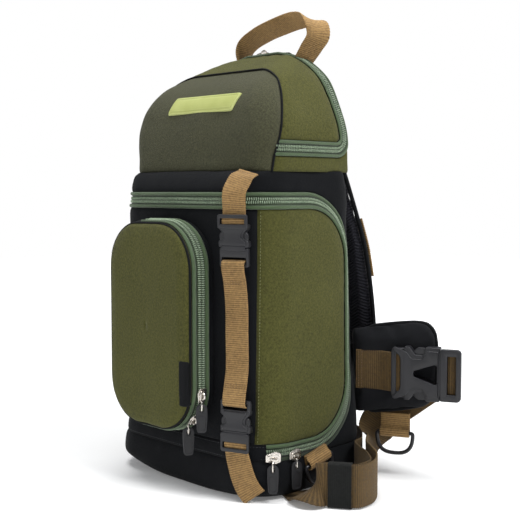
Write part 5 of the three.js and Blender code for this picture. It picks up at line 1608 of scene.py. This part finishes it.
HANDLE = ((-0.56, -0.22, -0.2, 0), (-0.58, 0.12, 0, -0.15), (-0.5, 0.34, 0.2, -0.35), (-0.18, 0.57, 0.4, -0.55),
          (0.22, 0.72, 0.4, -0.7), (0.56, 0.8, 0.3, -0.75), (0.82, 0.78, 0.6, -0.4), (0.98, 0.58, 0.8, 0),
          (1.0, 0.34, 0.8, 0), (0.86, 0.06, 0.6, 0), (0.7, -0.24, 0.3, 0))
handle_rows = [
    (vec(across * handle_reach, hood_back - handle_set, hood_base + hood_height + up * handle_rise), vec(turn, 1, roll))
    for across, up, turn, roll in HANDLE]
webbing("handle_webbing", handle_rows, strap_width, TAN, "tan_webbing", "handle")
SHOULDER = ((0.13, 0.955, 0, 0.7), (0.16, 0.92, 0.02, 0.9), (0.2, 0.85, 0.1, 1), (0.25, 0.76, 0.32, 1),
            (0.31, 0.67, 0.54, 1), (0.36, 0.6, 0.69, 1), (0.41, 0.53, 0.81, 1), (0.44, 0.46, 0.89, 1),
            (0.46, 0.39, 0.95, 1), (0.48, 0.33, 0.97, 0.98), (0.49, 0.28, 0.95, 0.7))
whole = hood_base + hood_height
near = hood_back + shoulder_thickness / 2 + 3
shoulder = [vec(a * body_half, near + b * shoulder_reach, up * whole) for a, up, b, _ in SHOULDER]
behind = shoulder_thickness / 2 + on_web
trim_rows = [(p + vec(shoulder_width / 2 - strap_width / 2, behind, 0), ALONG_X) for p in shoulder[5:8]]
webbing("shoulder_trim_webbing", trim_rows, strap_width, TAN, "tan_webbing", "shoulder_strap_trim")
lowest = shoulder[-1]
anchor = vec(body_half - 30, back_depth + 2 * on_web, 60)
lower_rows = [(p, ALONG_X) for p in (
    lowest + vec(-1, behind + 3.5, 18), lowest + vec(0, behind + 1, 4), lowest + vec(4, behind - 4, -14),
    (lowest + anchor) / 2 + vec(0, 4, 0), anchor + vec(-1, 3, 12), anchor)]
webbing("shoulder_lower_strap", lower_rows, strap_width, DARK_WEB, "black_webbing", "shoulder_lower_webbing")
strap_path_rows = [(p, ALONG_X, share) for p, (_, _, _, share) in zip(shoulder, SHOULDER)]
middle, cross, _, half, _ = strip_path(strap_path_rows, shoulder_width)
edges = []
for side in (-1, 1):
    line = middle[::6] + cross[::6] * (side * (half[::6, None] - 0.6))
    edges.append((line, np.tile(vec(0, 1, 0), (len(line), 1))))
tube("shoulder_binding", edges, 2.3, 0, BINDING, "black_fabric")


# Floor, light and camera

def studio():
    floor = to_object("floor", [(-3000, -3000, 0), (3000, -3000, 0), (3000, 3000, 0), (-3000, 3000, 0)],
                      [[0, 1, 2, 3]])
    floor.data.materials.append(floor_paint())
    floor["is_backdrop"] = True
    world = bpy.data.worlds.new("soft_room")
    world.use_nodes = True
    air = world.node_tree.nodes
    wall = air["Background"]
    wall.inputs["Strength"].default_value = 1.0
    wall.inputs["Color"].default_value = (1, 1, 1, 1)
    shade = air.new("ShaderNodeBackground")
    shade.inputs["Color"].default_value = (0.94, 0.97, 1.0, 1)
    shade.inputs["Strength"].default_value = 0.32
    seen, choice = air.new("ShaderNodeLightPath"), air.new("ShaderNodeMixShader")
    links = world.node_tree.links
    links.new(seen.outputs["Is Camera Ray"], choice.inputs[0])
    links.new(shade.outputs[0], choice.inputs[1])
    links.new(wall.outputs[0], choice.inputs[2])
    links.new(choice.outputs[0], air["World Output"].inputs[0])
    scene.world = world
    scene.view_settings.view_transform = "Standard"
    aim = vec(0, 0, 200) * MM
    for name, place, size, energy in (("key", (1.3, 0.2, 1.7), 0.8, 30), ("fill", (-0.6, -1.8, 0.9), 1.2, 5),
                                      ("top", (-0.1, -0.2, 1.9), 0.9, 26)):
        data = bpy.data.lights.new(name, "AREA")
        data.size = size
        data.energy = energy
        lamp = linked(name, data)
        lamp.location = place
        way = unit(vec(*place) - aim)
        lamp.rotation_euler = (math.acos(way[2]), 0, math.atan2(way[1], way[0]) + math.pi / 2)


def photo_camera():
    """The photograph's view: from the front right, a little above the middle of the bag."""
    data = bpy.data.cameras.new("camera")
    data.sensor_width = 36
    data.lens = 36 * 1000 / 520
    camera = linked("camera", data)
    turn, along, across = math.radians(45), 1037.7, 22.7
    x = along * math.sin(turn) + across * math.cos(turn)
    y = -along * math.cos(turn) + across * math.sin(turn)
    camera.location = (x * MM, y * MM, 292 * MM)
    camera.rotation_euler = (math.pi / 2 - math.atan(70 / 1000), 0, turn)
    scene.camera = camera


studio()
photo_camera()

low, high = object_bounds()
